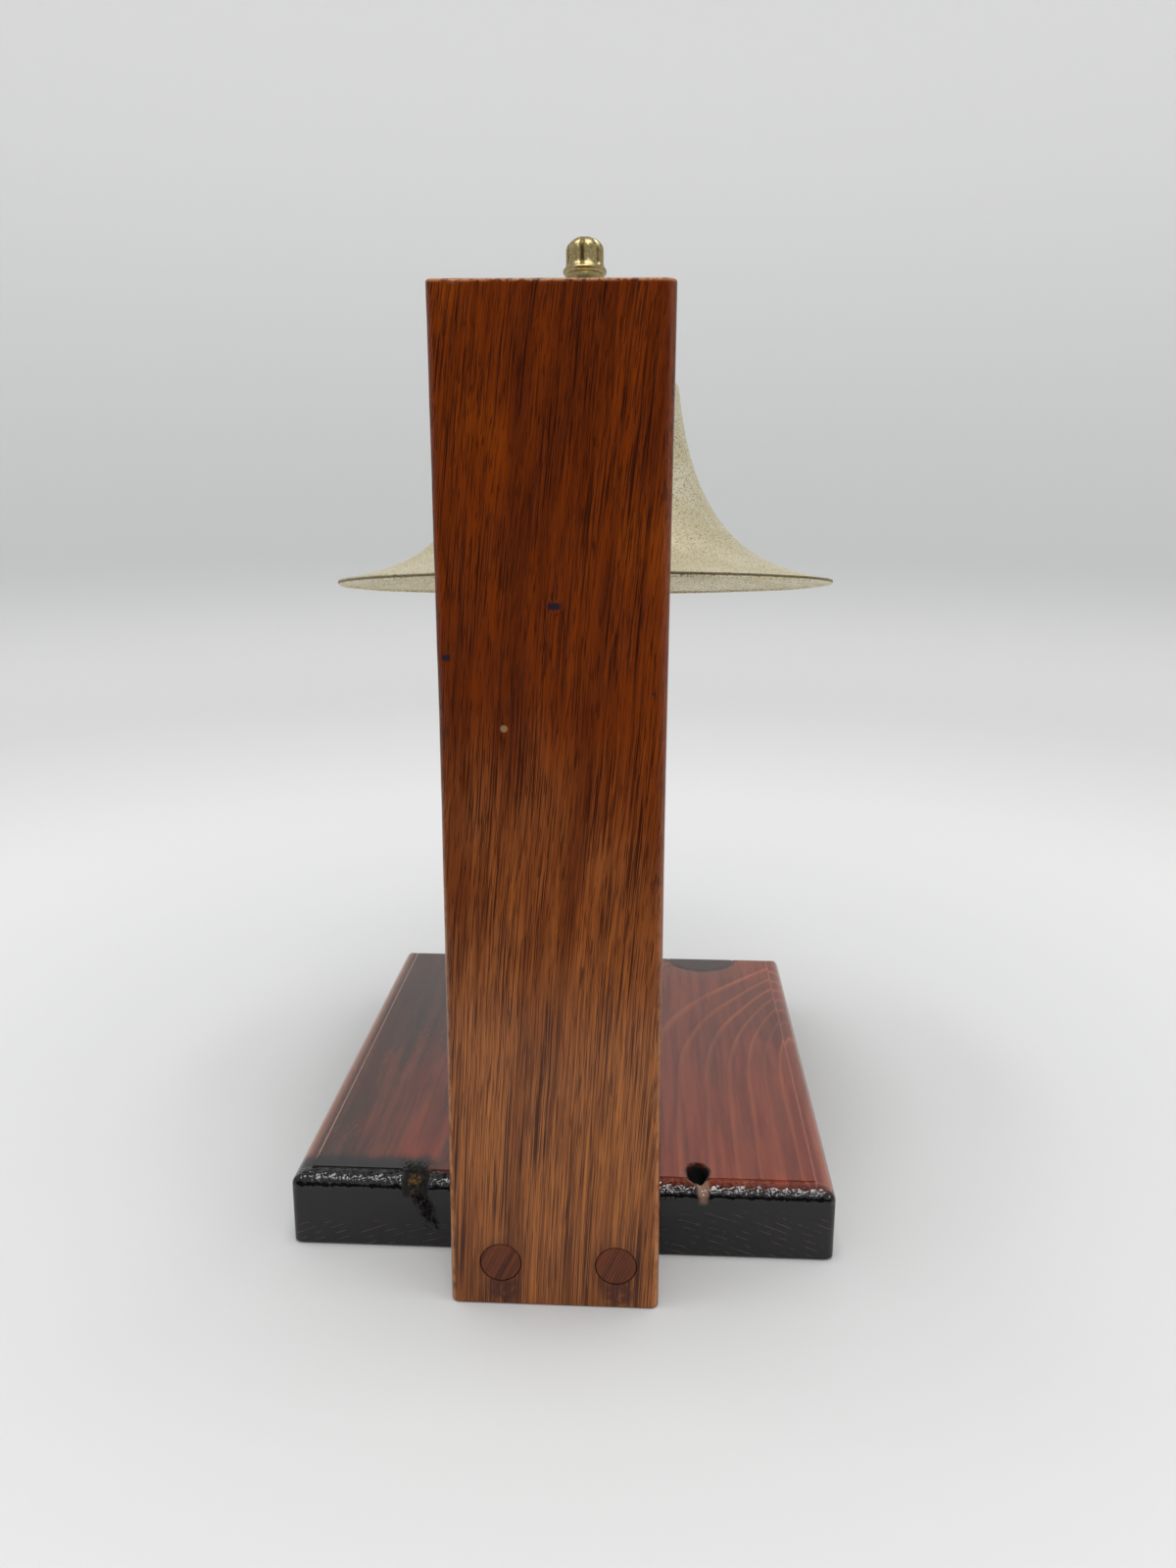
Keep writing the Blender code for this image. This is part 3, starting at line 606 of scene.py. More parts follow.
# %% Rounded rectangle
def rounded_rectangle(flat=44, round_steps=9):
    """Corner shares and push directions: a quarter turn of directions at a corner, then a flat side."""
    corner = np.array([[1.0, 1.0], [-1.0, 1.0], [-1.0, -1.0], [1.0, -1.0]])
    quarter = math.pi / 2
    core, turned = [], []
    for number, here in enumerate(corner):
        start = number * quarter
        angle = start + np.linspace(0.0, quarter, round_steps)
        count = flat if number in (0, 2) else flat // 2
        share = np.linspace(0.0, 1.0, count + 2)[1:-1, None]
        core += [np.repeat(here[None], round_steps, 0), here + (corner[(number + 1) % 4] - here) * share]
        turned += [np.stack([np.cos(angle), np.sin(angle)], 1),
                   np.repeat([[math.cos(start + quarter), math.sin(start + quarter)]], count, 0)]
    return np.vstack(core), np.vstack(turned)


print("a rounded rectangle has", len(rounded_rectangle()[0]), "points")

# %% [markdown]
# ## The post
# A rounded rectangle carried up the post. The real one has been sanded a little hollow along its
# sides, its arrises are worn unevenly, and the top and bottom edges are eased. The rectangle is drawn
# in by the same amount that the edge has curved away, which rounds the ends without a separate bevel.

# %% Post surface
POST_WAIST = 0.65
POST_EASE = 0.8
POST_ROWS = 260
ARRIS = 2.4
FULLER_ARRIS = 1.5
WORN_SWING = 0.40
POST_DENTS = (
    # x, z, half width, half height, depth in millimetres; a negative depth stands proud
    (0.6, 221.0, 2.3, 1.4, 0.5),
    (-29.7, 206.5, 1.6, 1.2, 0.4),
    (-13.6, 186.6, 1.0, 1.0, -0.3),
    (-25.0, 306.0, 2.2, 0.7, 0.5),
    (-3.0, 306.0, 3.0, 0.6, 0.3),
    (28.5, 303.0, 0.9, 1.6, 0.4),
)


def worn(position, seed):
    """A smooth unevenness of about one, from three sines of unlike length."""
    return (np.sin(position * 0.071 + seed) + 0.6 * np.sin(position * 0.193 + 2.1 * seed)
            + 0.35 * np.sin(position * 0.47 + 0.7 * seed)) / 1.95


def post_grid():
    """Rows every millimetre or so, each a rounded rectangle; near the ends it shrinks on an arc."""
    core, turned = rounded_rectangle()
    tall = POST_HIGH[2]
    arc_in = np.linspace(0.0, math.pi / 2, 7)
    low = POST_EASE * (1.0 - np.cos(arc_in))
    drawn_in = POST_EASE * (1.0 - np.sin(arc_in))
    inner = np.linspace(POST_EASE, tall - POST_EASE, POST_ROWS + 2)[1:-1]
    heights = np.concatenate([low, inner, (tall - low)[::-1]])[:, None]
    shrink = np.concatenate([drawn_in, np.zeros(POST_ROWS), drawn_in[::-1]])[:, None]
    waist = POST_WAIST * np.maximum(0.0, np.sin(math.pi * heights / tall)) ** 1.5
    wide = (POST_HIGH[0] - POST_LOW[0]) / 2.0 - waist
    deep = (POST_HIGH[1] - POST_LOW[1]) / 2.0
    seeds = 1.0 + 2.0 * (core[:, 0] > 0) + 1.3 * (core[:, 1] > 0)
    fuller = FULLER_ARRIS * ((core[:, 0] > 0) & (core[:, 1] < 0)) * (heights / tall)
    radius = ARRIS + WORN_SWING * worn(heights, seeds) + fuller
    x = core[:, 0] * (wide - radius) + turned[:, 0] * (radius - shrink)
    y = core[:, 1] * (deep - radius) + turned[:, 1] * (radius - shrink)
    return np.stack([x, y + POST_MIDDLE_Y, np.repeat(heights, len(core), 1)], -1)


def dented(grid):
    """Bell-shaped dents pressed into the near face and the top edge."""
    x, y, z = grid[..., 0], grid[..., 1], grid[..., 2]
    near = y < POST_LOW[1] + 0.8
    for px, pz, wide, tall, deep in POST_DENTS:
        fall = np.exp(-((x - px) / wide) ** 2 - ((z - pz) / tall) ** 2)
        y = y + np.where(near, deep * fall, 0.0)
    return np.stack([x, y, z], axis=-1)


post_points, post_faces = skin(dented(post_grid()) * MM)
print("post box in mm:", np.round(post_points.min(0) / MM, 2), np.round(post_points.max(0) / MM, 2))

# %% [markdown]
# ## Turning, facing and cutting
# Many pieces are turned on a lathe, so a profile swept round Z is drawn once and then moved to its
# place. A hole could be left out of the surface's own formula, but a cutter that is drawn, subtracted
# and thrown away is simpler and gives the clean edge that a drill leaves.

# %% Turned grids and cutters
def lathe(profile, columns):
    """A profile of (radius, height) turned about Z: a rows by columns grid."""
    profile = np.asarray(profile, float)
    angle = np.linspace(0.0, TURN, columns + 1)[:-1]
    return np.stack([profile[:, :1] * np.cos(angle), profile[:, :1] * np.sin(angle),
                     np.repeat(profile[:, 1:], columns, 1)], axis=-1)


def facing(grid, place, direction):
    """A grid drawn about Z moved to a place, with its Z turned to a direction."""
    ahead = unit(direction)
    side = unit(np.cross([0.31, 0.22, 0.92], ahead))
    return np.asarray(place) + grid @ np.stack([side, np.cross(ahead, side), ahead])


def cut(piece, cutters):
    """Cut closed grids out of a piece and keep the result as its own mesh."""
    for number, (points, faces) in enumerate(cutters):
        tool = bpy.data.objects.new("cutter", outward_mesh("cutter", points, faces))
        bpy.context.scene.collection.objects.link(tool)
        step = piece.modifiers.new("cut_%d" % number, "BOOLEAN")
        step.operation = "DIFFERENCE"
        step.solver = "EXACT"
        step.object = tool
        bpy.context.view_layer.update()
        evaluated = piece.evaluated_get(bpy.context.evaluated_depsgraph_get())
        result = bpy.data.meshes.new_from_object(evaluated)
        piece.modifiers.clear()
        piece.data = result
        bpy.data.objects.remove(tool, do_unlink=True)
    piece.data.shade_smooth()
    piece.data.set_sharp_from_angle(angle=math.radians(CREASE))
    print("%-20s %6d faces after %d cuts" % (piece.name, len(piece.data.polygons), len(cutters)))


print("a lathe grid of 2 points by 8 columns:", lathe([(1.0, 0.0), (1.0, 1.0)], 8).shape)

# %% [markdown]
# ## The post with its two pockets
# The board is screwed on through the post, and a short plug closes each counterbore. The pocket is a
# hair wider than its plug, which leaves the thin dark glue line round it.

# %% Post and pockets
PLUG_RADIUS = 6.35
POCKET_RADIUS = 6.62
POCKET_SPARE = 0.3
PLUG_PLACES = {side: middle("screw_plug_" + side) for side in ("left", "right")}
PLUG_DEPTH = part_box("screw_plug_left")[1].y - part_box("screw_plug_left")[0].y

post = build_piece("post", post_points, post_faces, post_wood, "stand", "post_wood", ["upright_post"])
pockets = []
for side, place in PLUG_PLACES.items():
    mouth = np.array([place[0], POST_LOW[1] * MM, place[2]])
    profile = np.array([[POCKET_RADIUS, PLUG_DEPTH / MM + POCKET_SPARE], [POCKET_RADIUS, -1.0]]) * MM
    pockets.append(skin(facing(lathe(profile, 96), mouth, (0.0, 1.0, 0.0))))
cut(post, pockets)

# %% [markdown]
# ## Wooden plugs
# The screw holes are closed with short plugs cut across the grain and pared flush. A thin dark line
# shows round each where the glue is. Each plug is turned with a slight chamfer.

# %% Plugs
for side, place in PLUG_PLACES.items():
    radius = PLUG_RADIUS
    length = PLUG_DEPTH / MM
    profile = [(radius * share, 0.04) for share in (0.15, 0.4, 0.7, 0.93)]
    profile += [(radius - 0.12, 0.06), (radius, 0.25), (radius, length - 0.3), (radius - 0.3, length)]
    seat = np.array([place[0], POST_LOW[1] * MM, place[2]])
    points, faces = skin(facing(lathe(np.array(profile) * MM, 96), seat, (0.0, 1.0, 0.0)))
    build_piece("plug_" + side, points, faces, plug_wood, "stand", "plug_wood", ["screw_plug_" + side])

# %% [markdown]
# ## Stained and lacquered board
# The board is flat-sawn pine. Its growth rings are shells around a pith far below it, so one formula,
# the distance from that pith, draws long lines on top and flat arcs on the sawn ends. A knot at the
# far edge pushes the rings aside. Black stain has soaked the sawn ends and much of the left side, red
# stain the rest, and a thick gloss coat covers everything.

# %% Board ground colour
BOARD_LOW, BOARD_HIGH = [np.array(v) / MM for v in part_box("base_board")]
PITH_Z = -174.0
RING_GAP = 2.4


def growth_rings(place):
    """Distance from the pith over the ring gap: the share of a year, and one random number a year."""
    x, y, z = place.parts()
    push = ((y + 30.0) / 85.0).most(0.0) ** 2.3 * 28.0
    wander = (place.stretched((1.0, 0.25, 1.0)).noise(0.02, 2.0) - 0.5) * 9.0
    from_pith = x - push + wander
    ring = (from_pith * from_pith + (z - PITH_Z) ** 2.0) ** 0.5 / RING_GAP
    phase = ring % 1.0
    whole = ring - phase
    year = whole.node("ShaderNodeTexWhiteNoise", {"noise_dimensions": "1D"}, {"W": whole})
    return phase, year


def stained_top(place, phase, year, streak, cloud):
    """Red and black stain in long streaks, with the pale late wood of the rings drawn over them."""
    x, y, _ = place.parts()
    redness = (x + (cloud - 0.5) * 130.0 - y.most(-60.0) * 0.22).step(-90.0, -14.0)
    near_red = (x + 34.0 + (streak - 0.5) * 60.0).step(-26.0, 4.0) * y.step(0.0, -70.0)
    patchy = place.stretched((1.0, 0.10, 1.0)).noise(0.13, 2.0).step(0.40, 0.56)
    redness = redness.most(near_red * 0.8) * (1.0 - x.step(0.0, -30.0) * (1.0 - patchy) * 0.75)
    red = streak.step(0.35, 0.65).blend(rgb(118, 40, 20), rgb(146, 62, 34))
    dark = streak.step(0.4, 0.7).blend(rgb(50, 33, 27), rgb(80, 48, 40))
    ground = (redness * 0.94).blend(dark, red)
    shade = place.stretched((1.0, 0.3, 1.0)).noise(0.06, 3.0).step(0.42, 0.66)
    deep = (shade * 0.35).blend(ground, rgb(62, 28, 20))
    line = phase.step(0.0, 0.08) * phase.step(0.34, 0.10)
    uneven = 0.45 + place.stretched((1.0, 0.12, 1.0)).noise(0.05, 3.0).step(0.36, 0.62) * 0.55
    strength = line * uneven * x.step(8.0, 40.0) * (0.25 + year.step(0.3, 0.9) * 0.75)
    return (strength * 0.66).blend(deep, rgb(184, 100, 56))


print("about %.0f rings across the board" % ((BOARD_HIGH[0] - BOARD_LOW[0]) / RING_GAP))

# %% [markdown]
# ## Rubbed edges and black ends
# Stain is thin on a sharp edge, so it is paler. The small step beside the rounding gets a pale line,
# a painted highlight where its lacquer catches the light. Sawn ends drink stain and turn black, and a
# little of it has bled back over the top. Masks of position do this: each is a step in X, Y or Z, made
# uneven with noise.

# %% Board edges and ends
SIDE_STEP_X = 85.7


def edged_and_ended(place, colour, phase, streak, cloud):
    """The board's colour with its pale side edges, a painted highlight on its creases, its black ends and its
    dark sides.
    """
    x, y, z = place.parts()
    to_left = x.step(0.0, -40.0)
    side_edge = abs(x).step(86.6, 90.0) * z.step(19.0, 23.0)
    rubbed = side_edge * (0.35 + to_left * 0.4)
    edged = rubbed.blend(colour, streak.blend(rgb(120, 62, 44), rgb(190, 128, 104)))
    # Painted highlight: a pale line along the step beside the rounding.
    crease = abs(abs(x) - SIDE_STEP_X).step(0.50, 0.12) * z.step(24.9, 25.5)
    with_crease_highlight = (crease * (0.30 + to_left * 0.45)).blend(edged, rgb(190, 150, 136))

    bled = (y + (streak - 0.5) * 9.0).step(-87.0, -94.0) * x.step(-34.0, -50.0)
    end = y.step(-97.2, -99.6).most(y.step(100.5, 102.5)).most(bled)
    end_red = (x - 12.0 + (cloud - 0.5) * 60.0).step(0.0, 30.0) * y.step(-103.4, -98.6) * 0.85
    stained = (end * (1.0 - end_red)).blend(with_crease_highlight, rgb(17, 15, 17))
    end_line = phase.step(0.0, 0.06) * phase.step(0.22, 0.10) * end * z.step(22.5, 20.0)
    broken = place.noise(0.22, 3.0).step(0.46, 0.6) * (z - x.step(-20.0, 60.0) * 8.0).step(13.0, 5.0)
    ended = (end_line * broken * 0.42).blend(stained, rgb(104, 84, 76))
    sides = abs(x).step(91.0, 91.8)
    return (sides * 0.6).blend(ended, rgb(30, 16, 15))


print("side step at x = +-%.1f mm" % SIDE_STEP_X)

# %% [markdown]
# ## Knots and the split
# A knot is a branch cut across. One at the far edge is whole and dark inside a pale halo, one near
# the front has dropped out and left a hole, and one on the front edge has crumbled. A split runs down
# from that one. Each is an ellipse with a noisy outline, and the mesh is pressed in at the same places.

# %% Knots and the whole board finish
KNOT_HOLE = (46.0, -94.5)
KNOT_STUB = (47.8, -101.3)
CRUMBLED_KNOT = (-49.4, -101.5)
FAR_KNOT = (54.0, 99.0)
SPLIT_X, SPLIT_TOP, SPLIT_LEAN = -48.5, 22.0, 0.42


def knot_spot(place, centre, wide, tall, soft):
    """1 inside an ellipse on the XY plane with a noisy outline, 0 outside."""
    x, y, _ = place.parts()
    distance = (((x - centre[0]) / wide) ** 2.0 + ((y - centre[1]) / tall) ** 2.0) ** 0.5
    return (distance + (place.noise(0.35, 3.0) - 0.5) * 0.35).step(1.0 + soft, 1.0 - soft)


def far_knot(place, colour):
    """Whole knot: a dark disc, a darker rim and a pale halo."""
    disc = knot_spot(place, FAR_KNOT, 15.5, 15.5, 0.05)
    rim = knot_spot(place, FAR_KNOT, 16.8, 16.8, 0.05) * (1.0 - disc)
    halo = knot_spot(place, FAR_KNOT, 27.0, 26.0, 0.12) * (1.0 - disc)
    for mask, shade in ((halo * 0.35, rgb(128, 72, 40)), (disc * 0.85, rgb(34, 30, 30)),
                        (rim * 0.8, rgb(20, 12, 10))):
        colour = mask.blend(colour, shade)
    return colour


def dropped_knot(place, colour, streak):
    """Knot hole: a dark rim, the pale stub of torn fibres in front, and the inside painted black as painted
    shade.
    """
    hole = knot_spot(place, KNOT_HOLE, 3.9, 5.4, 0.06)
    rim = knot_spot(place, KNOT_HOLE, 4.5, 6.0, 0.10) * (1.0 - hole)
    stub = knot_spot(place, KNOT_STUB, 2.1, 3.6, 0.3) * place.parts()[2].step(19.0, 21.0)
    rimmed = (rim * 0.85).blend(colour, rgb(26, 12, 9))
    stubbed = (stub * 0.75).blend(rimmed, streak.blend(rgb(120, 84, 70), rgb(172, 140, 122)))
    # Painted shade: the deep hole's inside is painted near black.
    return hole.blend(stubbed, rgb(4, 3, 3)), hole


def crumbled_knot(place, colour):
    """Crumbled knot: black, with brown crumbs in its middle, and painted shade as black pits along the split.
    """
    x, y, z = place.parts()
    crumb = knot_spot(place, CRUMBLED_KNOT, 4.6, 6.6, 0.12) * z.step(18.0, 20.5)
    core = knot_spot(place, (CRUMBLED_KNOT[0] - 0.3, CRUMBLED_KNOT[1] + 0.4), 2.2, 3.6, 0.45)
    crumbs = place.noise(0.75, 3.0, 0.65).step(0.47, 0.57).blend(rgb(9, 7, 6), rgb(142, 104, 48))
    filled = (crumb * 0.95).blend(colour, core.blend(rgb(10, 8, 7), crumbs))
    # Painted shade: black pits in the crack that runs down the near face.
    from_split = abs(x - SPLIT_X - (SPLIT_TOP - z) * SPLIT_LEAN)
    band = (from_split + (place.noise(0.6, 2.0) - 0.5) * 5.0).step(3.2, 1.6)
    on_face = z.step(5.5, 9.5) * y.step(-101.5, -102.6)
    split = band * on_face * place.noise(1.5, 3.0, 0.7).step(0.44, 0.54)
    return (split * 0.92).blend(filled, rgb(5, 4, 5)), crumb, split


def board_material():
    """Ground, edges and ends, knots, then the gloss and the ripples of thick lacquer."""
    material, shader, place = new_finish("base_wood", Specular_IOR_Level=0.5)
    _, y, z = place.parts()
    streak = place.stretched((1.0, 0.05, 1.0)).noise(0.22, 4.0, 0.6)
    fibre = place.stretched((1.0, 0.03, 1.0)).noise(1.3, 3.0, 0.6)
    cloud = place.stretched((1.0, 0.4, 1.0)).noise(0.03, 3.0)
    phase, year = growth_rings(place)
    top = stained_top(place, phase, year, streak, cloud)
    fibred = (fibre.step(0.5, 0.75) * 0.22).blend(top, rgb(34, 15, 12))
    ended = edged_and_ended(place, fibred, phase, streak, cloud)
    holed, hole = dropped_knot(place, far_knot(place, ended), streak)
    colour, crumb, split = crumbled_knot(place, holed)

    height = place.stretched((1.0, 0.06, 1.0)).noise(0.55, 2.0)
    ripple = place.stretched((1.0, 0.6, 0.6)).noise(0.75, 1.0, 0.5)
    on_edge = y.step(-98.0, -98.9) * (0.12 + z.step(20.6, 21.6) * 0.88)
    crumbling = crumb * place.noise(1.6, 3.0, 0.7)
    relief = height * 0.3 + ripple * on_edge * 3.2 - split * 6.0 + crumbling * 8.0
    rough = 0.08 + fibre * 0.07 + crumb.most(hole) * 0.5
    feed(shader, Base_Color=colour, Roughness=rough, Normal=relief.bump(0.0001, 1.0))
    return material


base_wood = board_material()
print(base_wood.name, "has", len(base_wood.node_tree.nodes), "nodes")

# %% [markdown]
# ## The board
# The top is a height field over the board's rectangle: flat in the middle, then a small step and a
# quarter round made by a router bit. The height depends only on the distance to the nearest edge,
# which mitres the corners by itself. Grid lines crowd where the edge curves. A skirt hangs from the
# rim of the field down to the table, and the knots and a crack are pressed into both.

# %% Board height field
ROUND_RUN = 6.1
ROUND_DROP = 4.1
QUIRK = 0.5
QUIRK_RUN = 0.3
CORNER_ROUND = 3.0
WAVE_HEIGHT = 0.12
FAR_KNOT_RADIUS = 15.8


def edge_lines(low, high, inner_count):
    """Grid lines across the board: close together on the rounded edges, even between them."""
    arc = np.linspace(0.0, math.pi / 2, 10)
    run = np.concatenate([ROUND_RUN * (1.0 - np.cos(arc)), [ROUND_RUN + QUIRK_RUN]])
    inner = np.linspace(low + run[-1], high - run[-1], inner_count)[1:-1]
    return np.concatenate([low + run, inner, (high - run)[::-1]])


def edge_height(distance):
    """Height over the table at a distance in from the board's nearest edge."""
    share = np.clip(1.0 - distance / ROUND_RUN, 0.0, 1.0)
    rounded = ROUND_DROP * np.sqrt(1.0 - share ** 2)
    step = QUIRK * np.clip((distance - ROUND_RUN) / QUIRK_RUN, 0.0, 1.0)
    return BOARD_HIGH[2] - QUIRK - ROUND_DROP + rounded + step


def pressed(x, y, centre, wide, tall, deep, sharp=2.0, rough=0.0):
    """Depth of a hollow: flat-bottomed when sharp is high, its rim made uneven by sines of the angle."""
    dx, dy = (x - centre[0]) / wide, (y - centre[1]) / tall
    angle = np.arctan2(dy, dx)
    rim = 1.0 + rough * (np.sin(3 * angle + 1.0) + 0.7 * np.sin(5 * angle + 2.0) + 0.5 * np.sin(9 * angle))
    return deep * np.exp(-(np.hypot(dx, dy) / rim) ** sharp)


def lacquer_waves(x, y):
    """Uneven lacquer on the near rounded edge: short waves across it, from sines of unlike lengths."""
    off_flat = np.clip((BOARD_LOW[1] + ROUND_RUN - y) / 1.5, 0.0, 1.0)
    on_edge = off_flat * np.clip(y - BOARD_LOW[1], 0.0, 1.0)
    short = np.sin(x * 2.45 + y * 0.9 + 1.6 * np.sin(x * 0.31))
    long = np.sin(x * 1.1 - y * 2.4 + 2.0 * np.sin(x * 0.17))
    return WAVE_HEIGHT * on_edge * (short + 0.8 * long) * (0.65 + 0.35 * np.sin(x * 0.21 + 1.0))


def rounded_corners(x, y):
    """The square-to-disc formula in each corner's square turns its outer point into a quarter circle."""
    reach_x, reach_y = BOARD_HIGH[0], (BOARD_HIGH[1] - BOARD_LOW[1]) / 2.0
    centre_y = (BOARD_HIGH[1] + BOARD_LOW[1]) / 2.0
    u = np.clip((np.abs(x) - reach_x + CORNER_ROUND) / CORNER_ROUND, 0.0, 1.0)
    v = np.clip((np.abs(y - centre_y) - reach_y + CORNER_ROUND) / CORNER_ROUND, 0.0, 1.0)
    new_x = x - np.sign(x) * CORNER_ROUND * u * (1.0 - np.sqrt(1.0 - v * v / 2.0))
    new_y = y - np.sign(y - centre_y) * CORNER_ROUND * v * (1.0 - np.sqrt(1.0 - u * u / 2.0))
    return new_x, new_y


def board_top(x, y):
    """The edge's height less the knot hole, its stub, the crumbled knot and the far knot's groove."""
    near_x = np.minimum(x - BOARD_LOW[0], BOARD_HIGH[0] - x)
    near_y = np.minimum(y - BOARD_LOW[1], BOARD_HIGH[1] - y)
    z = edge_height(np.minimum(near_x, near_y))
    z = z - pressed(x, y, KNOT_HOLE, 3.3, 4.8, 8.0, 8.0, 0.04)
    z = z - pressed(x, y, (47.8, -101.6), 2.0, 4.0, 0.9, 3.0, 0.08)
    crumble = 1.0 + 0.5 * np.sin(x * 2.9 + 1.0) * np.sin(y * 2.3) + 0.35 * np.sin(x * 5.7 + y * 4.1)
    z = z - pressed(x, y, CRUMBLED_KNOT, 4.6, 6.4, 1.3, 3.0, 0.10) * crumble
    arc = np.abs(np.hypot(x - FAR_KNOT[0], y - FAR_KNOT[1]) - FAR_KNOT_RADIUS)
    return z - 0.25 * np.exp(-(arc / 0.6) ** 2)


def crack_depth(x, z):
    """The crack that runs from the crumbled knot down the near face: depth along Y."""
    middle_x = SPLIT_X + (SPLIT_TOP - z) * SPLIT_LEAN + 0.8 * np.sin(z * 0.9)
    open_wide = np.clip((z - 6.5) / 12.0, 0.0, 1.0) * 2.3 + 0.3
    tooth = 0.75 + 0.6 * np.sin(z * 3.1 + x) * np.sin(x * 2.6) + 0.4 * np.sin(x * 4.9 + z * 1.7)
    return 0.9 * np.exp(-((x - middle_x) / open_wide) ** 2) * np.clip((z - 7.0) / 4.0, 0.0, 1.0) * tooth


print("board %.1f mm high on top, %.1f mm at its rim" % (edge_height(50.0), edge_height(0.0)))

# %% [markdown]
# ## Closing the board
# The height field has no sides yet. Its rim is repeated lower and lower down to the table, with rows
# close enough to carry the split, and the last row is joined to one point under the middle.

# %% Board mesh
SIDE_ROWS = 22
SIDE_TAPER = 0.006


def build_board():
    """Height field, skirt and base joined in one closed skin."""
    lines_x = np.unique(np.concatenate([edge_lines(BOARD_LOW[0], BOARD_HIGH[0], 290),
                                        np.linspace(40.0, 52.5, 26), np.linspace(-56.0, -41.0, 26)]).round(4))
    lines_y = np.unique(np.concatenate([edge_lines(BOARD_LOW[1], BOARD_HIGH[1], 120),
                                        np.linspace(-103.0, -87.0, 34)]).round(4))
    x, y = np.meshgrid(lines_x, lines_y)
    z = board_top(x, y) - lacquer_waves(x, y)
    x, y = rounded_corners(x, y)
    count_y, count_x = x.shape
    index = np.arange(x.size).reshape(x.shape)
    rim = np.concatenate([index[0, :-1], index[:-1, -1], index[-1, :0:-1], index[:0:-1, 0]])
    top = np.stack([x, y, z], axis=-1).reshape(-1, 3)
    edge = top[rim]
    levels = np.concatenate([np.linspace(0.96, 0.04, SIDE_ROWS), [0.015, 0.0]])[:, None]
    taper = 1.0 - SIDE_TAPER * np.maximum(0.0, 1.0 - levels * 25.0)
    skirt = np.stack([edge[:, 0] * taper, edge[:, 1] * taper, edge[:, 2] * levels], axis=-1)
    on_near = skirt[..., 1] < BOARD_LOW[1] + 0.6
    skirt[..., 1] += np.where(on_near, crack_depth(skirt[..., 0], skirt[..., 2]), 0.0)
    points = np.vstack([top, skirt.reshape(-1, 3), [[0.0, 0.0, 0.0]]])
    loops = np.vstack([rim[None], len(top) + np.arange(skirt[..., 0].size).reshape(len(levels), -1)])
    wrapped = np.hstack([loops, loops[:, :1]])
    quads = [wrapped[:-1, :-1], wrapped[1:, :-1], wrapped[1:, 1:], wrapped[:-1, 1:]]
    sides = np.stack(quads, axis=-1).reshape(-1, 4)
    bottom = np.stack([loops[-1], np.full(len(rim), len(points) - 1), np.roll(loops[-1], -1)], axis=1)
    faces = [grid_faces(count_y, count_x, False, False), sides, bottom]
    return build_piece("board", points * MM, faces, base_wood, "stand", "base_wood", ["base_board"], 32.0)


board = build_board()
print("board faces:", len(board.data.polygons))

# %% [markdown]
# ## Brass and the other metals
# The bell is thin spun brass, gone pale and finely pitted, with faint rings from the spinning tool.
# Its pits are a scatter of small dark cells, deeper where they crowd. The finial has kept more shine on
# its lobes and dirt in its grooves. A groove is darker by position: the nearer to the axis, the darker.


# %% Metal finishes
FINIAL_DOME = 6.95
DOME_FOOT = 115.0
finial_low, finial_high, _ = span("finial")
FINIAL_TOP_RISE = finial_high / MM


def axis_place(place):
    """Radius and height about the bell's axis, in millimetres, from Object coordinates."""
    inputs = {0: place, 1: tuple(RIM_CENTRE / MM)}
    centred = place.node("ShaderNodeVectorMath", {"operation": "SUBTRACT"}, inputs)
    rise = centred.node("ShaderNodeVectorMath", {"operation": "DOT_PRODUCT"}, {0: centred, 1: tuple(AXIS)}, 1)
    length = centred.node("ShaderNodeVectorMath", {"operation": "LENGTH"}, {0: centred}, 1)
    radius = (length * length - rise * rise).most(0.0) ** 0.5
    return radius, rise


def bell_material():
    """Pale pitted brass in slow clouds, with spinning rings in its relief and painted shade as a dark line on
    the lip.
    """
    material, shader, place = new_finish("bell_brass", Metallic=1.0)
    radius, rise = axis_place(place)
    cloud = place.noise(0.045, 4.0, 0.6)
    grime = place.noise(0.6, 4.0, 0.7)
    pit_cells = place.cells(1.15)
    pit_size = place.noise(0.35, 3.0, 0.6)
    pits = (pit_cells - pit_size * 0.36 - 0.15).step(0.05, -0.05)
    small_pits = (place.cells(1.5) - place.noise(0.5, 2.0) * 0.40).step(0.05, -0.05)
    spin = place.joined(rise, radius, 0.0).noise(1.1, 3.0, 0.6)
    pale = cloud.step(0.38, 0.66).blend(rgb(217, 206, 172), rgb(228, 220, 194))
    warm = (grime.step(0.45, 0.75) * 0.35).blend(pale, rgb(204, 191, 150))
    pitted = (pits.most(small_pits * 0.5) * 0.66).blend(warm, rgb(104, 84, 44))
    # Painted shade: a dark line round the lip's edge face.
    at_rim = radius.step(RIM_RADIUS / MM - 0.8, RIM_RADIUS / MM - 0.4)
    lip = rise.step(-0.15, -0.35) * rise.step(-1.15, -0.95) * at_rim
    with_lip_shade = (lip * 0.8).blend(pitted, rgb(84, 68, 34))
    rough = 0.40 + cloud * 0.12 + pits * 0.2
    relief = 1.0 - pits - small_pits * 0.5 + spin * 0.12
    feed(shader, Base_Color=with_lip_shade, Roughness=rough, Normal=relief.bump(0.00008, 0.6))
    return material


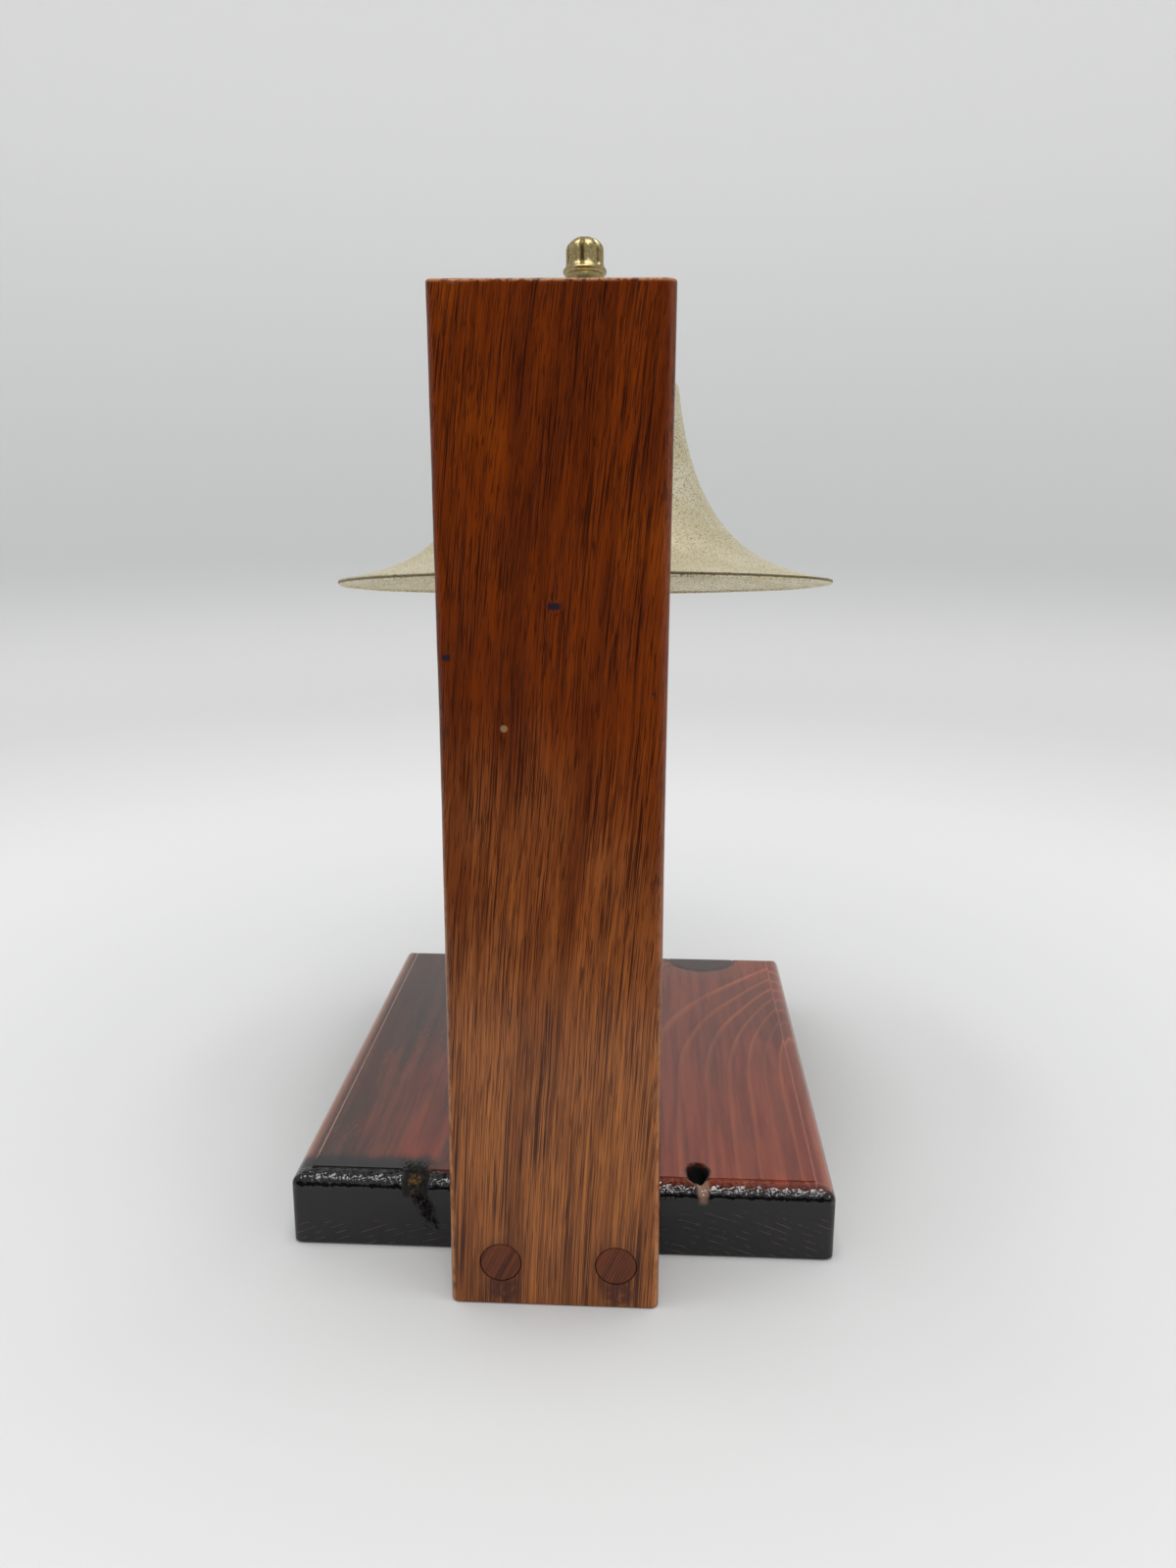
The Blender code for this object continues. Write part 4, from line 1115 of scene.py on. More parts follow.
def finial_material():
    """Worn gold on the lobes, freckles of old lacquer, and dirt where the surface lies nearer the axis."""
    material, shader, place = new_finish("finial_brass", Metallic=1.0)
    radius, rise = axis_place(place)
    grime = place.noise(0.9, 4.0, 0.7)
    low_lobe = rise.step(DOME_FOOT - 0.4, DOME_FOOT + 1.4)
    sunk = (radius + grime * 0.5).step(FINIAL_DOME - 0.15, FINIAL_DOME - 0.75) * low_lobe
    sunk = sunk * rise.step(FINIAL_TOP_RISE - 2.2, FINIAL_TOP_RISE - 4.4)
    worn_gold = grime.step(0.35, 0.65).blend(rgb(142, 126, 84), rgb(176, 160, 118))
    freckled = (place.cells(1.9).step(0.34, 0.12) * 0.55).blend(worn_gold, rgb(122, 102, 56))
    colour = (sunk * 0.6).blend(freckled, rgb(92, 80, 40))
    rough = 0.26 + grime * 0.16 + sunk * 0.25
    feed(shader, Base_Color=colour, Roughness=rough, Normal=grime.bump(0.00012, 0.5))
    return material


def plain_metal(name, dark, light, rough, scale, bump, stretch=(1.0, 1.0, 1.0)):
    """A metal with fine streaks or grains between two colours."""
    material, shader, place = new_finish(name, Metallic=1.0)
    grain = place.stretched(stretch).noise(scale, 4.0, 0.65)
    cloud = place.noise(0.12, 3.0)
    colour = grain.step(0.3, 0.7).blend(dark, light)
    aged = (cloud.step(0.5, 0.75) * 0.4).blend(colour, dark)
    feed(shader, Base_Color=aged, Roughness=rough + grain * 0.15, Normal=grain.bump(bump, 0.5))
    return material


def rubber_material():
    """Nearly black rubber with a fine chalky speckle."""
    material, shader, place = new_finish("pad_rubber", Specular_IOR_Level=0.35)
    speck = place.noise(2.2, 3.0, 0.7)
    feed(shader, Base_Color=speck.blend(rgb(24, 24, 25), rgb(48, 47, 46)), Roughness=0.72 + speck * 0.2,
         Normal=speck.bump(0.0001, 0.5))
    return material


bell_brass = bell_material()
finial_brass = finial_material()
bar_brass = plain_metal("bar_brass", rgb(150, 122, 66), rgb(208, 180, 116), 0.28, 1.6, 0.00005,
                        (1.0, 0.06, 0.06))
turned_brass = plain_metal("turned_brass", rgb(164, 138, 80), rgb(222, 198, 140), 0.22, 2.2, 0.00004)
steel = plain_metal("fastener_steel", rgb(120, 118, 112), rgb(188, 186, 180), 0.3, 2.5, 0.00005)
iron = plain_metal("clapper_iron", rgb(38, 36, 36), rgb(84, 80, 78), 0.42, 1.8, 0.00008)
rubber = rubber_material()
print("metals:", ", ".join(m.name for m in (bell_brass, finial_brass, bar_brass, turned_brass, steel, iron)))

# %% [markdown]
# ## The bell
# One closed profile is turned about the bell's axis: out over the crown, down the flare to the lip and
# back up the inside. The flare is a throat radius plus two decays, one short and one long, which is how
# a trumpet-like mouth opens. Real spun bells are never quite round, so slow waves pull it in and out.

# %% Bell mesh
THROAT = 32.2
FLARE_SHORT, FLARE_LONG, FLARE_SHARE = 4.23, 25.3, 0.265
WALL = 1.3
SHOULDER = 4.0
BELL_TOP = span("bell_shell")[1] / MM
CROWN_HOLE = 3.3
BELL_COLUMNS = 240
FLARE_ROWS = 75
ROW_CROWDING = 1.9


def flare(height):
    """Throat, plus the rest of the mouth falling off with two decay lengths."""
    reach = RIM_RADIUS / MM - THROAT
    return THROAT + reach * (FLARE_SHARE * np.exp(-height / FLARE_SHORT)
                             + (1.0 - FLARE_SHARE) * np.exp(-height / FLARE_LONG))


def bell_profile():
    """Crown, shoulder, flare, rounded lip, then the same line a wall's thickness inside."""
    shoulder_z = BELL_TOP - SHOULDER
    centre_r = flare(shoulder_z) - SHOULDER
    arc = np.linspace(math.pi / 2, 0.0, 12)
    outer_arc = np.stack([centre_r + SHOULDER * np.cos(arc), shoulder_z + SHOULDER * np.sin(arc)], 1)
    inner_arc = np.stack([centre_r + (SHOULDER - WALL) * np.cos(arc),
                          shoulder_z + (SHOULDER - WALL) * np.sin(arc)], 1)
    heights = shoulder_z * (1.0 - np.linspace(0.0, 1.0, FLARE_ROWS + 1)[1:]) ** ROW_CROWDING
    outer = np.stack([flare(heights), heights], 1)
    slope = np.gradient(outer, axis=0)
    inward = np.stack([slope[:, 1], -slope[:, 0]], 1)
    inward /= np.linalg.norm(inward, axis=1)[:, None]
    inner = outer + WALL * inward
    keep = inner[:, 1] > -0.9
    lip_centre = (outer[-1] + inner[keep][-1]) / 2.0
    lip_start = outer[-1] - lip_centre
    swing = np.linspace(0.0, -math.pi, 8)[1:-1]
    lip = lip_centre + np.stack([lip_start[0] * np.cos(swing) - lip_start[1] * np.sin(swing),
                                 lip_start[0] * np.sin(swing) + lip_start[1] * np.cos(swing)], 1)
    crown = np.linspace(CROWN_HOLE, centre_r, 14)[:-1]
    top = np.stack([crown, np.full(len(crown), BELL_TOP)], 1)
    under = np.stack([crown, np.full(len(crown), BELL_TOP - WALL)], 1)
    return np.vstack([top, outer_arc, outer, lip, inner[keep][::-1], inner_arc[::-1], under[::-1]])


def out_of_round(grid):
    """Slow waves round the bell that grow towards the lip, a quarter of a millimetre at most."""
    angle = np.arctan2(grid[..., 1], grid[..., 0])
    radius = np.hypot(grid[..., 0], grid[..., 1])
    share = np.clip((radius - THROAT) / (RIM_RADIUS / MM - THROAT), 0.0, 1.0) ** 1.5
    waves = 0.16 * np.sin(2 * angle + 0.6) + 0.09 * np.sin(5 * angle + 2.0) + 0.05 * np.sin(11 * angle)
    return np.stack([grid[..., 0], grid[..., 1], grid[..., 2] + share * waves], axis=-1)


bell_grid = out_of_round(lathe(bell_profile(), BELL_COLUMNS)) * MM
bell_points, bell_faces = skin(bell_to_world(bell_grid), close_rows=True)
build_piece("bell", bell_points, bell_faces, bell_brass, "stand", "bell_brass", ["bell_shell"], 50.0)
print("bell %.1f mm across, %.1f mm tall" % (2 * RIM_RADIUS / MM, BELL_TOP))

# %% [markdown]
# ## The finial
# A turned brass knob: foot, waisted neck, flaring cup, a rounded ring, and a dome with six
# lobes. The lobes come from one formula: the dome's radius is drawn in by a narrow groove
# every sixth of a turn, and each lobe bulges a little between its grooves. The lobes' feet are rounded,
# so the groove is deepest just above the ring.

# %% Finial mesh
LOBES = 6
LOBE_TURN = math.radians(-96.7)
RING_RISE = 113.0
RING_RADIUS = 8.05
NECK_RADIUS = 4.6
FOOT_RADIUS = 7.6
DOME_SHOULDER = 120.4


def eased(share):
    """A share from 0 to 1 that starts and ends without a kink."""
    return share * share * (3.0 - 2.0 * share)


def finial_profile():
    """From the apex down: dome, lobe feet, ring, cup, neck, foot, then up the bore."""
    apex = FINIAL_TOP_RISE
    low = finial_low / MM
    arc = np.linspace(math.radians(86.0), 0.0, 34)
    dome = np.stack([FINIAL_DOME * np.cos(arc), DOME_SHOULDER + (apex - DOME_SHOULDER) * np.sin(arc)], 1)
    straight = np.stack([np.full(14, FINIAL_DOME), np.linspace(DOME_SHOULDER - 0.3, DOME_FOOT + 1.2, 14)], 1)
    flare_share = np.linspace(0.0, 1.0, 14)[1:-1]
    feet = np.stack([FINIAL_DOME + (RING_RADIUS - 0.5 - FINIAL_DOME) * flare_share ** 2.2,
                     DOME_FOOT + 1.2 - (DOME_FOOT + 0.1 - RING_RISE) * flare_share], 1)
    ring_arc = np.radians(np.linspace(50.0, -75.0, 18))
    ring = np.stack([RING_RADIUS - 1.35 + 1.35 * np.cos(ring_arc), RING_RISE + 1.35 * np.sin(ring_arc)], 1)
    neck_z = low + 10.5
    cup_z = RING_RISE - 1.7
    share = np.linspace(0.0, 1.0, 30)[1:]
    cup = np.stack([RING_RADIUS - 0.9 + (NECK_RADIUS - RING_RADIUS + 0.9) * eased(share),
                    cup_z + (neck_z - cup_z) * share], 1)
    foot_top = low + 2.2
    lower = np.stack([NECK_RADIUS + (FOOT_RADIUS - NECK_RADIUS) * share ** 2,
                      neck_z + (foot_top - neck_z) * share], 1)
    base = np.array([[FOOT_RADIUS, foot_top - 0.5], [FOOT_RADIUS, low + 0.4], [FOOT_RADIUS - 0.4, low],
                     [3.7, low], [3.3, low + 0.4], [3.3, 99.0]])
    return np.vstack([[[0.25, apex]], dome, straight, feet, ring, cup, lower, base])


def scalloped(grid):
    """The dome's radius less a narrow groove every sixth of a turn, plus a slight bulge of each lobe."""
    angle = np.arctan2(grid[..., 1], grid[..., 0]) - LOBE_TURN
    radius = np.hypot(grid[..., 0], grid[..., 1])
    height = grid[..., 2]
    from_groove = np.abs((angle * LOBES / TURN + 0.5) % 1.0 - 0.5) / LOBES * TURN * FINIAL_DOME
    groove = np.exp(-(from_groove / 0.75) ** 1.5)
    bulge = 1.0 - (1.0 - np.clip(from_groove / (TURN * FINIAL_DOME / LOBES / 2), 0, 1)) ** 2
    on_dome = eased(np.clip((height - RING_RISE - 0.2) / 2.4, 0.0, 1.0))
    to_apex = np.clip((radius - 1.2) / 3.2, 0.0, 1.0)
    depth = on_dome * to_apex * (groove + 0.62 * (1.0 - bulge))
    share = np.where(radius > 0.3, (radius - depth) / np.maximum(radius, 0.3), 1.0)
    return np.stack([grid[..., 0] * share, grid[..., 1] * share, height], axis=-1)


finial_points, finial_faces = skin(bell_to_world(scalloped(lathe(finial_profile(), 288)) * MM))
build_piece("finial_knob", finial_points, finial_faces, finial_brass, "stand", "finial_brass", ["finial"],
            60.0)

# %% [markdown]
# ## Washers, pad and nuts
# Stamped washers have one rounded and one sharp edge, the rubber pad bulges where it is squeezed, and a
# nut is a hexagon whose corners a cone has cut back. A hexagon's radius at an angle is its flat's
# distance over the cosine of the angle to that flat, and the chamfer is a cone that limits it.


# %% Washers, pad and nuts
STUD = 3.0
STUD_CLEARANCE = 0.3
NUT_FLAT = 5.0
NUT_COLUMNS = 180


def soft_ring(inner, outer, low, high, ease, bulge=0.0):
    """A closed ring section with eased edges; bulge pushes the outer face out in the middle."""
    side = np.linspace(0.0, 1.0, 9)
    edge = outer - bulge
    wall = np.stack([edge + bulge * np.sin(math.pi * side), high - ease - (high - low - 2 * ease) * side], 1)
    return np.vstack([[[edge - ease, high]], wall, [[edge - ease, low], [inner + ease, low],
                      [inner, low + ease], [inner, high - ease], [inner + ease, high]]])


def build_ring(name, node, material, slot, ease, bulge=0.0):
    """A ring as tall and as wide as its CAD node, round the stud."""
    low, high, outer = [v / MM for v in span(node)]
    grid = lathe(soft_ring(STUD + STUD_CLEARANCE, outer, low, high, ease, bulge), 96) * MM
    points, faces = skin(bell_to_world(grid), close_rows=True)
    build_piece(name, points, faces, material, "stand", slot, [node])


def build_nut(name, node):
    """Hexagon radius limited by a chamfer cone at both ends, bored through."""
    low, high, _ = [v / MM for v in span(node)]
    angle = np.linspace(0.0, TURN, NUT_COLUMNS + 1)[:-1]
    hexagon = NUT_FLAT / np.cos((angle + math.pi / 6) % (math.pi / 3) - math.pi / 6)
    side = np.concatenate([np.linspace(0.0, 0.16, 7), np.linspace(0.2, 0.8, 5), np.linspace(0.84, 1.0, 7)])
    heights = high - (high - low) * side
    from_end = np.minimum(heights - low, high - heights)
    cone = NUT_FLAT - 0.15 + from_end * 1.75
    outer = np.minimum(hexagon[None, :], cone[:, None])
    bore = np.array([[3.9, low], [3.3, low + 0.5], [3.3, high - 0.5], [3.9, high]])
    radii = np.vstack([outer, np.repeat(bore[:, :1], NUT_COLUMNS, 1)])
    tall = np.repeat(np.concatenate([heights, bore[:, 1]])[:, None], NUT_COLUMNS, 1)
    grid = np.stack([radii * np.cos(angle), radii * np.sin(angle), tall], -1)
    points, faces = skin(bell_to_world(grid * MM), close_rows=True)
    build_piece(name, points, faces, turned_brass, "stand", "bell_brass", [node], 30.0)


build_ring("pad", "crown_pad", rubber, "pad_rubber", 0.2, 0.25)
build_ring("washer_above", "bar_washer", turned_brass, "bell_brass", 0.3)
build_ring("washer_inside", "inner_washer", turned_brass, "bell_brass", 0.3)
build_nut("nut_above", "bar_nut")
build_nut("nut_inside", "inner_nut")

# %% [markdown]
# ## The bent bar
# A strip of flat brass bent over a former. Its middle line is two straight runs and one arc, and a
# rounded rectangle is carried along it. Near both ends the strip's width follows a quarter circle, so
# the corners are rounded as a file leaves them. Three countersunk holes and the stud's hole are cut.

# %% Bar line and section
BAR_HALF_WIDE = 12.7
BAR_THICK = 3.0
BAR_CORNER = 9.0
BAR_BEND = 12.0
BAR_OVERHANG = 14.0
BAR_EASE = 0.45
BAR_GAP = 0.3
SCREW_HEAD, SCREW_SHANK, HEAD_RIM = 3.9, 1.9, 0.5


def bar_line():
    """Free end, over the bell, round the bend and down the post, in millimetres of the YZ plane."""
    tilt = math.atan2(AXIS[1], AXIS[2])
    out = np.array([math.cos(tilt), -math.sin(tilt)])
    up_axis = np.array([math.sin(tilt), math.cos(tilt)])
    middle_rise = (span("crown_pad")[1] + span("bar_washer")[0]) / 2.0 / MM
    over = RIM_CENTRE[1:] / MM + up_axis * middle_rise
    leg_y = POST_HIGH[1] + BAR_GAP + BAR_THICK / 2.0
    leg_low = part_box("hanger_bar")[0].z / MM
    corner = over - out * (over[0] - leg_y) / out[0]
    sweep = math.pi / 2 + tilt
    start = corner + out * BAR_BEND * math.tan(sweep / 2)
    centre = start - up_axis * BAR_BEND
    angles = math.pi / 2 - tilt + np.linspace(0.0, sweep, 26)
    bend = centre + BAR_BEND * np.stack([np.cos(angles), np.sin(angles)], 1)
    free = over + out * BAR_OVERHANG
    eases = BAR_CORNER * (1.0 - np.cos(np.linspace(0.0, math.pi / 2, 14)))
    reach = np.linalg.norm(free - bend[0])
    first = free - out * np.concatenate([eases, np.linspace(BAR_CORNER, reach, 22)[1:-1]])[:, None]
    fall = bend[-1, 1] - leg_low
    drops = np.concatenate([np.linspace(0.0, fall - BAR_CORNER, 20)[1:], (fall - eases)[::-1][1:]])
    leg = np.stack([np.full(len(drops), bend[-1, 0]), bend[-1, 1] - drops], 1)
    return np.vstack([first, bend, leg])


def bar_grid():
    """A rounded rectangle on the line, its width eased to a quarter circle at both ends."""
    line = bar_line()
    along = np.gradient(line, axis=0)
    along /= np.linalg.norm(along, axis=1)[:, None]
    side = np.stack([-along[:, 1], along[:, 0]], 1)
    travelled = np.concatenate([[0.0], np.cumsum(np.linalg.norm(np.diff(line, axis=0), axis=1))])
    from_end = np.minimum(np.minimum(travelled, travelled[-1] - travelled), BAR_CORNER)
    reach = np.sqrt(np.maximum(0.0, BAR_CORNER ** 2 - (BAR_CORNER - from_end) ** 2))
    half = BAR_HALF_WIDE - BAR_CORNER + reach
    core, turned = rounded_rectangle(14, 6)
    wide = core[:, 0] * (half[:, None] - BAR_EASE) + turned[:, 0] * BAR_EASE
    depth = core[:, 1] * (BAR_THICK / 2.0 - BAR_EASE) + turned[:, 1] * BAR_EASE
    deep = np.repeat(depth[None], len(line), 0)
    lean = math.atan2(-AXIS[0], AXIS[2])
    plane = line[:, None, :] + deep[..., None] * side[:, None, :]
    rise = plane[..., 1] - RIM_CENTRE[2] / MM
    x = RIM_CENTRE[0] / MM + wide * math.cos(lean) - rise * math.sin(lean)
    z = RIM_CENTRE[2] / MM + wide * math.sin(lean) + rise * math.cos(lean)
    return np.stack([x, plane[..., 0], z], axis=-1)


print("bar line of", len(bar_line()), "points")

# %% [markdown]
# ## The bar's holes
# Three countersunk holes take the screws and one plain hole takes the bell's stud. Each cutter is the
# hole's own shape, a little longer than the strip is thick.

# %% Bar and its holes
def countersink(clearance):
    """Cutter for a countersunk hole, its mouth 1 mm above the surface."""
    wide = SCREW_HEAD + clearance
    narrow = SCREW_SHANK + clearance
    return np.array([[wide, 1.0], [wide, -HEAD_RIM], [narrow, -HEAD_RIM - SCREW_HEAD + SCREW_SHANK],
                     [narrow, -9.0]]) * MM


bar = build_piece("bar", *skin(bar_grid() * MM), bar_brass, "stand", "bar_brass", ["hanger_bar"])
bar_cutters = []
BAR_SCREWS = {}
for where in ("top", "middle", "bottom"):
    low, high = [np.array(v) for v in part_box("bar_screw_" + where)]
    BAR_SCREWS[where] = np.array([(low[0] + high[0]) / 2, high[1], (low[2] + high[2]) / 2])
    bar_cutters.append(skin(facing(lathe(countersink(0.15), 64), BAR_SCREWS[where], (0.0, 1.0, 0.0))))
bore = STUD + STUD_CLEARANCE
bar_cutters.append(skin(bell_to_world(lathe(np.array([[bore, 90.0], [bore, 60.0]]) * MM, 64))))
cut(bar, bar_cutters)

# %% [markdown]
# ## Wood screws
# A countersunk screw: a flat head with a cross recess, a cone, a plain neck, and a thread. The thread is
# one formula for the radius: a saw-tooth of height minus the turn's share, which winds round as a
# helix. The recess is pressed into the head's face by the distance to a cross.


# %% Screws
SCREW_COLUMNS = 96
ROOT_SHARE = 0.74
TIP_SHARE = 3.2
SLOT_ANGLES = {"top": 0.3, "middle": 1.1, "bottom": 0.7}
DEEP_HEAD, DEEP_SHANK, DEEP_PITCH = 4.2, 2.1, 1.8


def saw_tooth(phase):
    """1 at whole numbers, 0 half-way between, straight in between."""
    return np.abs((phase % 1.0) - 0.5) * 2.0


def screw_face(head, angle):
    """Radii and heights of the face: a cross sunk where both arms' distances are small."""
    radius = np.linspace(0.03, 1.0, 26)[:, None] * (head - 0.15)
    x, y = np.abs(radius * np.cos(angle)), np.abs(radius * np.sin(angle))
    arm = np.minimum(x, y) / (0.17 * head)
    reach = np.maximum(x, y) / (0.62 * head)
    sunk = 1.0 / (1.0 + np.exp((np.maximum(arm, reach) - 1.0) * 14.0))
    height = -1.7 * sunk * (1.0 - 0.45 * np.clip(reach, 0.0, 1.0)) - 0.06 * (radius / head) ** 4
    return np.repeat(radius, len(angle), 1), height


def screw_grid(head, shank, length, pitch):
    """Rows from the middle of the head's face out, down the cone and the threaded shank to the tip."""
    angle = np.linspace(0.0, TURN, SCREW_COLUMNS + 1)[:-1]
    face_r, face_z = screw_face(head, angle)
    cone = head - shank
    tip = TIP_SHARE * shank
    below = np.array([[head, -0.2], [head, -HEAD_RIM], [shank * 0.95, -HEAD_RIM - cone]])
    narrowing = np.linspace(1.0, 0.05, 12)[1:]
    straight = np.linspace(-0.9 - cone, -length + tip, int(length * 5))
    tall = np.concatenate([straight, np.linspace(-length + tip, -length, 12)[1:]])[:, None]
    core = ROOT_SHARE * shank * np.concatenate([np.ones(len(straight)), narrowing])[:, None]
    started = np.clip((-tall - 0.3 * length) / 1.5, 0.0, 1.0)
    taper = np.clip((tall + length) / tip, 0.12, 1.0)
    tooth = saw_tooth(tall / pitch - angle / TURN) ** 2
    thread = core + (1.0 - ROOT_SHARE) * shank * started * taper * tooth
    radii = np.vstack([face_r, np.repeat(below[:, :1], SCREW_COLUMNS, 1), thread])
    heights = np.vstack([face_z, np.repeat(np.vstack([below[:, 1:], tall]), SCREW_COLUMNS, 1)])
    return np.stack([radii * np.cos(angle), radii * np.sin(angle), heights], axis=-1)


def spun(grid, angle):
    """A grid turned about Z."""
    c, s = math.cos(angle), math.sin(angle)
    x, y, z = np.moveaxis(grid, -1, 0)
    return np.stack([x * c - y * s, x * s + y * c, z], -1)


for where, place in BAR_SCREWS.items():
    grid = spun(screw_grid(SCREW_HEAD, SCREW_SHANK, 20.0, 1.5), SLOT_ANGLES[where])
    points, faces = skin(facing(grid * MM, place, (0.0, 1.0, 0.0)))
    build_piece("screw_" + where, points, faces, steel, "stand", "fastener_steel", ["bar_screw_" + where])
for side in ("left", "right"):
    low, high = [np.array(v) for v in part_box("base_screw_" + side)]
    seat = np.array([(low[0] + high[0]) / 2, low[1], (low[2] + high[2]) / 2])
    grid = screw_grid(DEEP_HEAD, DEEP_SHANK, (high[1] - low[1]) / MM, DEEP_PITCH)
    points, faces = skin(facing(grid * MM, seat, (0.0, -1.0, 0.0)))
    build_piece("deep_screw_" + side, points, faces, steel, "stand", "fastener_steel", ["base_screw_" + side])

# %% [markdown]
# ## Bent wire
# Round wire is a circle carried along a path. At each step the circle lies across the path, and since
# all these paths stay in one plane, the plane's normal gives the second direction with no twist.


# %% Wire along a flat path
def wire_grid(path, radius, normal, columns=28, thread=None):
    """A circle of the given radius at each path point, across the path; the path is flat on a plane."""
    along = np.gradient(path, axis=0)
    along /= np.linalg.norm(along, axis=1)[:, None]
    normal = np.asarray(normal, float)
    side = np.cross(normal, along)
    angle = np.linspace(0.0, TURN, columns + 1)[:-1]
    size = np.broadcast_to(np.asarray(radius, float)[:, None], (len(path), columns)).copy()
    if thread is not None:
        size += thread(angle)
    return path[:, None, :] + size[..., None] * (side[:, None, :] * np.cos(angle)[None, :, None]
                                                  + normal * np.sin(angle)[None, :, None])


def circle_path(centre, radius, start, end, count, first, second):
    """Points on a circle from one angle to another, in the plane of two directions."""
    angle = np.radians(np.linspace(start, end, count))[:, None]
    way = np.cos(angle) * np.asarray(first) + np.sin(angle) * np.asarray(second)
    return np.asarray(centre) + radius * way


def build_wire(name, path, radius, normal, material, body, slot, nodes, columns=28, thread=None):
    """A wire piece from a path and radii in millimetres."""
    grid = wire_grid(path * MM, np.asarray(radius) * MM, normal, columns, thread)
    points, faces = skin(grid)
    build_piece(name, points, faces, material, body, slot, nodes, 55.0)


print("a full circle of 8 points:", circle_path((0.0, 0.0, 0.0), 1.0, 0.0, 360.0, 8, ACROSS, AXIS).shape)

# %% [markdown]
# ## The eye bolt
# One rod makes the stud that clamps the bell and the eye that carries the clapper. The stud's thread is
# a saw-tooth in the radius that winds round as the height falls, and the rod thins where the eye begins.

# %% Eye bolt
EYE_RISE, EYE_RADIUS, EYE_WIRE = 52.0, 5.0, 1.5
STUD_ROOT = 2.75
STUD_ROWS, NECK_ROWS = 300, 6
THREAD_DEPTH = 0.25
eye_centre = RIM_CENTRE / MM + AXIS * EYE_RISE
stud_top = span("eye_bolt")[1] / MM
stud_rise = np.linspace(stud_top, EYE_RISE + EYE_RADIUS + 1.6, STUD_ROWS)
stud_path = RIM_CENTRE / MM + AXIS * stud_rise[:, None]
eye_path = circle_path(eye_centre, EYE_RADIUS, 82.0, -252.0, 80, BACKWARD, AXIS)[4:]
bolt_path = np.vstack([stud_path, eye_path])
threaded = STUD_ROWS - NECK_ROWS
bolt_radius = np.concatenate([[2.2, 2.6], np.full(threaded - 2, STUD_ROOT), np.linspace(2.7, 1.7, NECK_ROWS),
                              np.full(len(eye_path), EYE_WIRE)])
row = np.arange(len(bolt_path))
on_stud = (row > 2) & (row < threaded)
rise_of = np.concatenate([stud_rise, np.zeros(len(eye_path))])


def stud_thread(angle):
    """A metric saw-tooth of 1 mm pitch on the straight part only."""
    tooth = saw_tooth(rise_of[:, None] - angle[None, :] / TURN)
    return on_stud[:, None] * tooth * THREAD_DEPTH * MM


build_wire("eye", bolt_path, bolt_radius, ACROSS, turned_brass, "stand", "bell_brass", ["eye_bolt"],
           40, stud_thread)

# %% [markdown]
# ## The link and the clapper
# The link hangs in the eye and the clapper's loop hangs in the link, so the clapper can swing both
# ways. The rod is one wire: a loop, a straight run through the ball, and an eye at the tail. Both
# places come from the joints, so the wires touch where the motion turns.

# %% Link and clapper
LINK_RADIUS, LINK_WIRE = 6.0, 1.3
LOOP_RADIUS, ROD_WIRE, TAIL_RADIUS = 4.5, 1.3, 5.2
LINK_ROWS, ROD_ROWS = 96, 60
ROD_MIDDLE = 1.5
LOOP_GAP = 0.3
ROD_START = 1.2
joints = {joint["name"]: joint for joint in frame["joints"]}
clapper_pivot = np.array(joints["clapper_swing"]["pos_m"]) / MM
X_WAY, Y_WAY, Z_WAY = np.eye(3)

link_centre = clapper_pivot + Z_WAY * LINK_RADIUS
link_path = circle_path(link_centre, LINK_RADIUS, 3.0, 357.0, LINK_ROWS, X_WAY, Z_WAY)
build_wire("link", link_path, np.full(LINK_ROWS, LINK_WIRE), Y_WAY, turned_brass, "link", "bell_brass",
           ["clapper_link"])

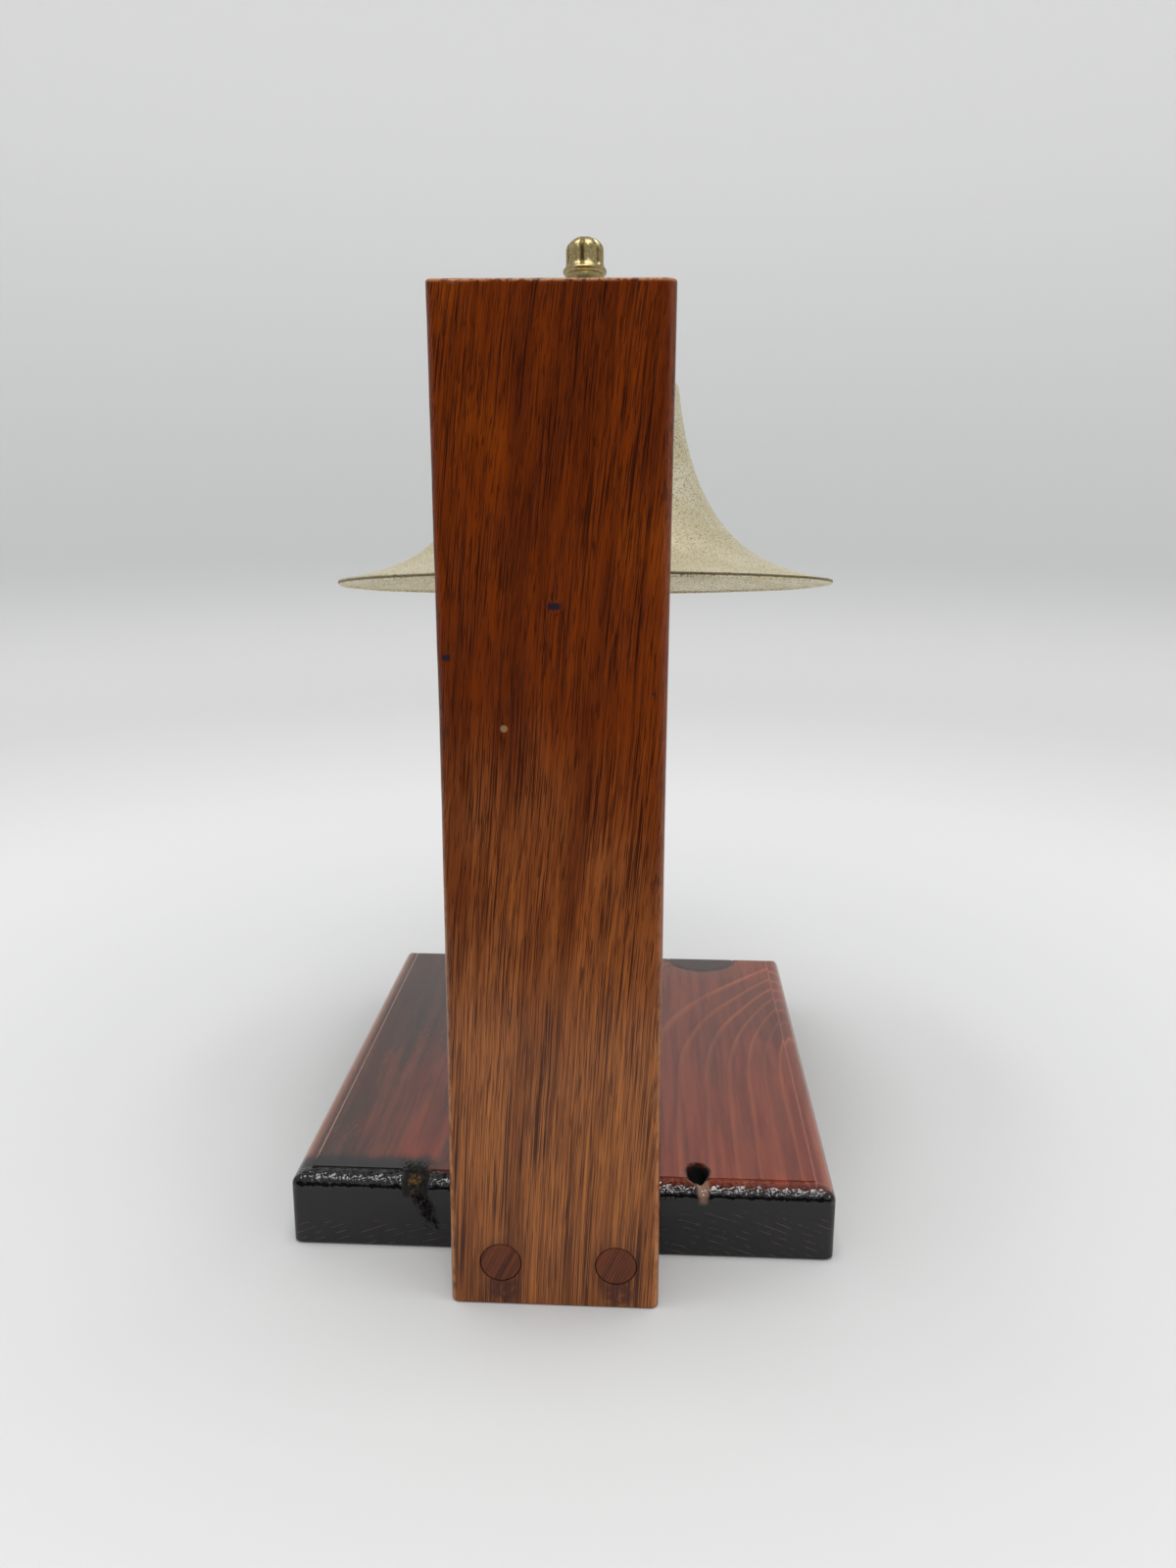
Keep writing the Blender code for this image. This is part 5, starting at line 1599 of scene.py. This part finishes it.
rod_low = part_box("clapper_rod")[0].z / MM
loop_centre = clapper_pivot + Z_WAY * (2 * LINK_WIRE + LOOP_GAP - LOOP_RADIUS)
tail_centre = np.array([clapper_pivot[0], clapper_pivot[1], rod_low + ROD_WIRE + TAIL_RADIUS])
loop_path = circle_path(loop_centre, LOOP_RADIUS, -125.0, 252.0, 76, Y_WAY, Z_WAY)[12:]
tail_path = circle_path(tail_centre, TAIL_RADIUS, 108.0, 440.0, 76, Y_WAY, Z_WAY)
rod_high = loop_centre[2] - LOOP_RADIUS - ROD_START
rod_heights = np.linspace(rod_high, tail_centre[2] + TAIL_RADIUS + ROD_START, ROD_ROWS)
rod_path = clapper_pivot * (1.0, 1.0, 0.0) + rod_heights[:, None] * Z_WAY
clapper_path = np.vstack([loop_path, rod_path, tail_path])
thick = np.concatenate([np.full(len(loop_path), ROD_WIRE), np.full(ROD_ROWS, ROD_MIDDLE),
                        np.full(len(tail_path), ROD_WIRE)])
build_wire("clapper_wire", clapper_path, thick, X_WAY, iron, "clapper", "clapper_iron", ["clapper_rod"])


# %% [markdown]
# ## The clapper's ball
# A brass ball turned between centres keeps two fine tool lines at its middle. The profile is a half
# circle bored through, drawn in by a narrow bump at each line.

# %% Ball
def ball_profile(radius, bore):
    """A sphere bored through, its mouths eased, with two fine turned lines round its middle."""
    limit = math.acos((bore + 0.5) / radius)
    arc = np.linspace(limit, -limit, 90)
    line = 0.12 * (np.exp(-((arc - 0.06) / 0.015) ** 2) + np.exp(-((arc + 0.06) / 0.015) ** 2))
    outer = np.stack([(radius - line) * np.cos(arc), (radius - line) * np.sin(arc)], 1)
    inner = np.stack([np.full(6, bore), np.linspace(-radius * 0.975, radius * 0.975, 6)], 1)
    return np.vstack([outer, inner])


ball_middle = middle("clapper_ball")
ball_radius = (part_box("clapper_ball")[1].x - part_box("clapper_ball")[0].x) / 2.0 / MM
ball_grid = lathe(ball_profile(ball_radius, 1.9), 128) * MM + ball_middle
points, faces = skin(ball_grid, close_rows=True)
build_piece("ball", points, faces, turned_brass, "clapper", "bell_brass", ["clapper_ball"], 50.0)
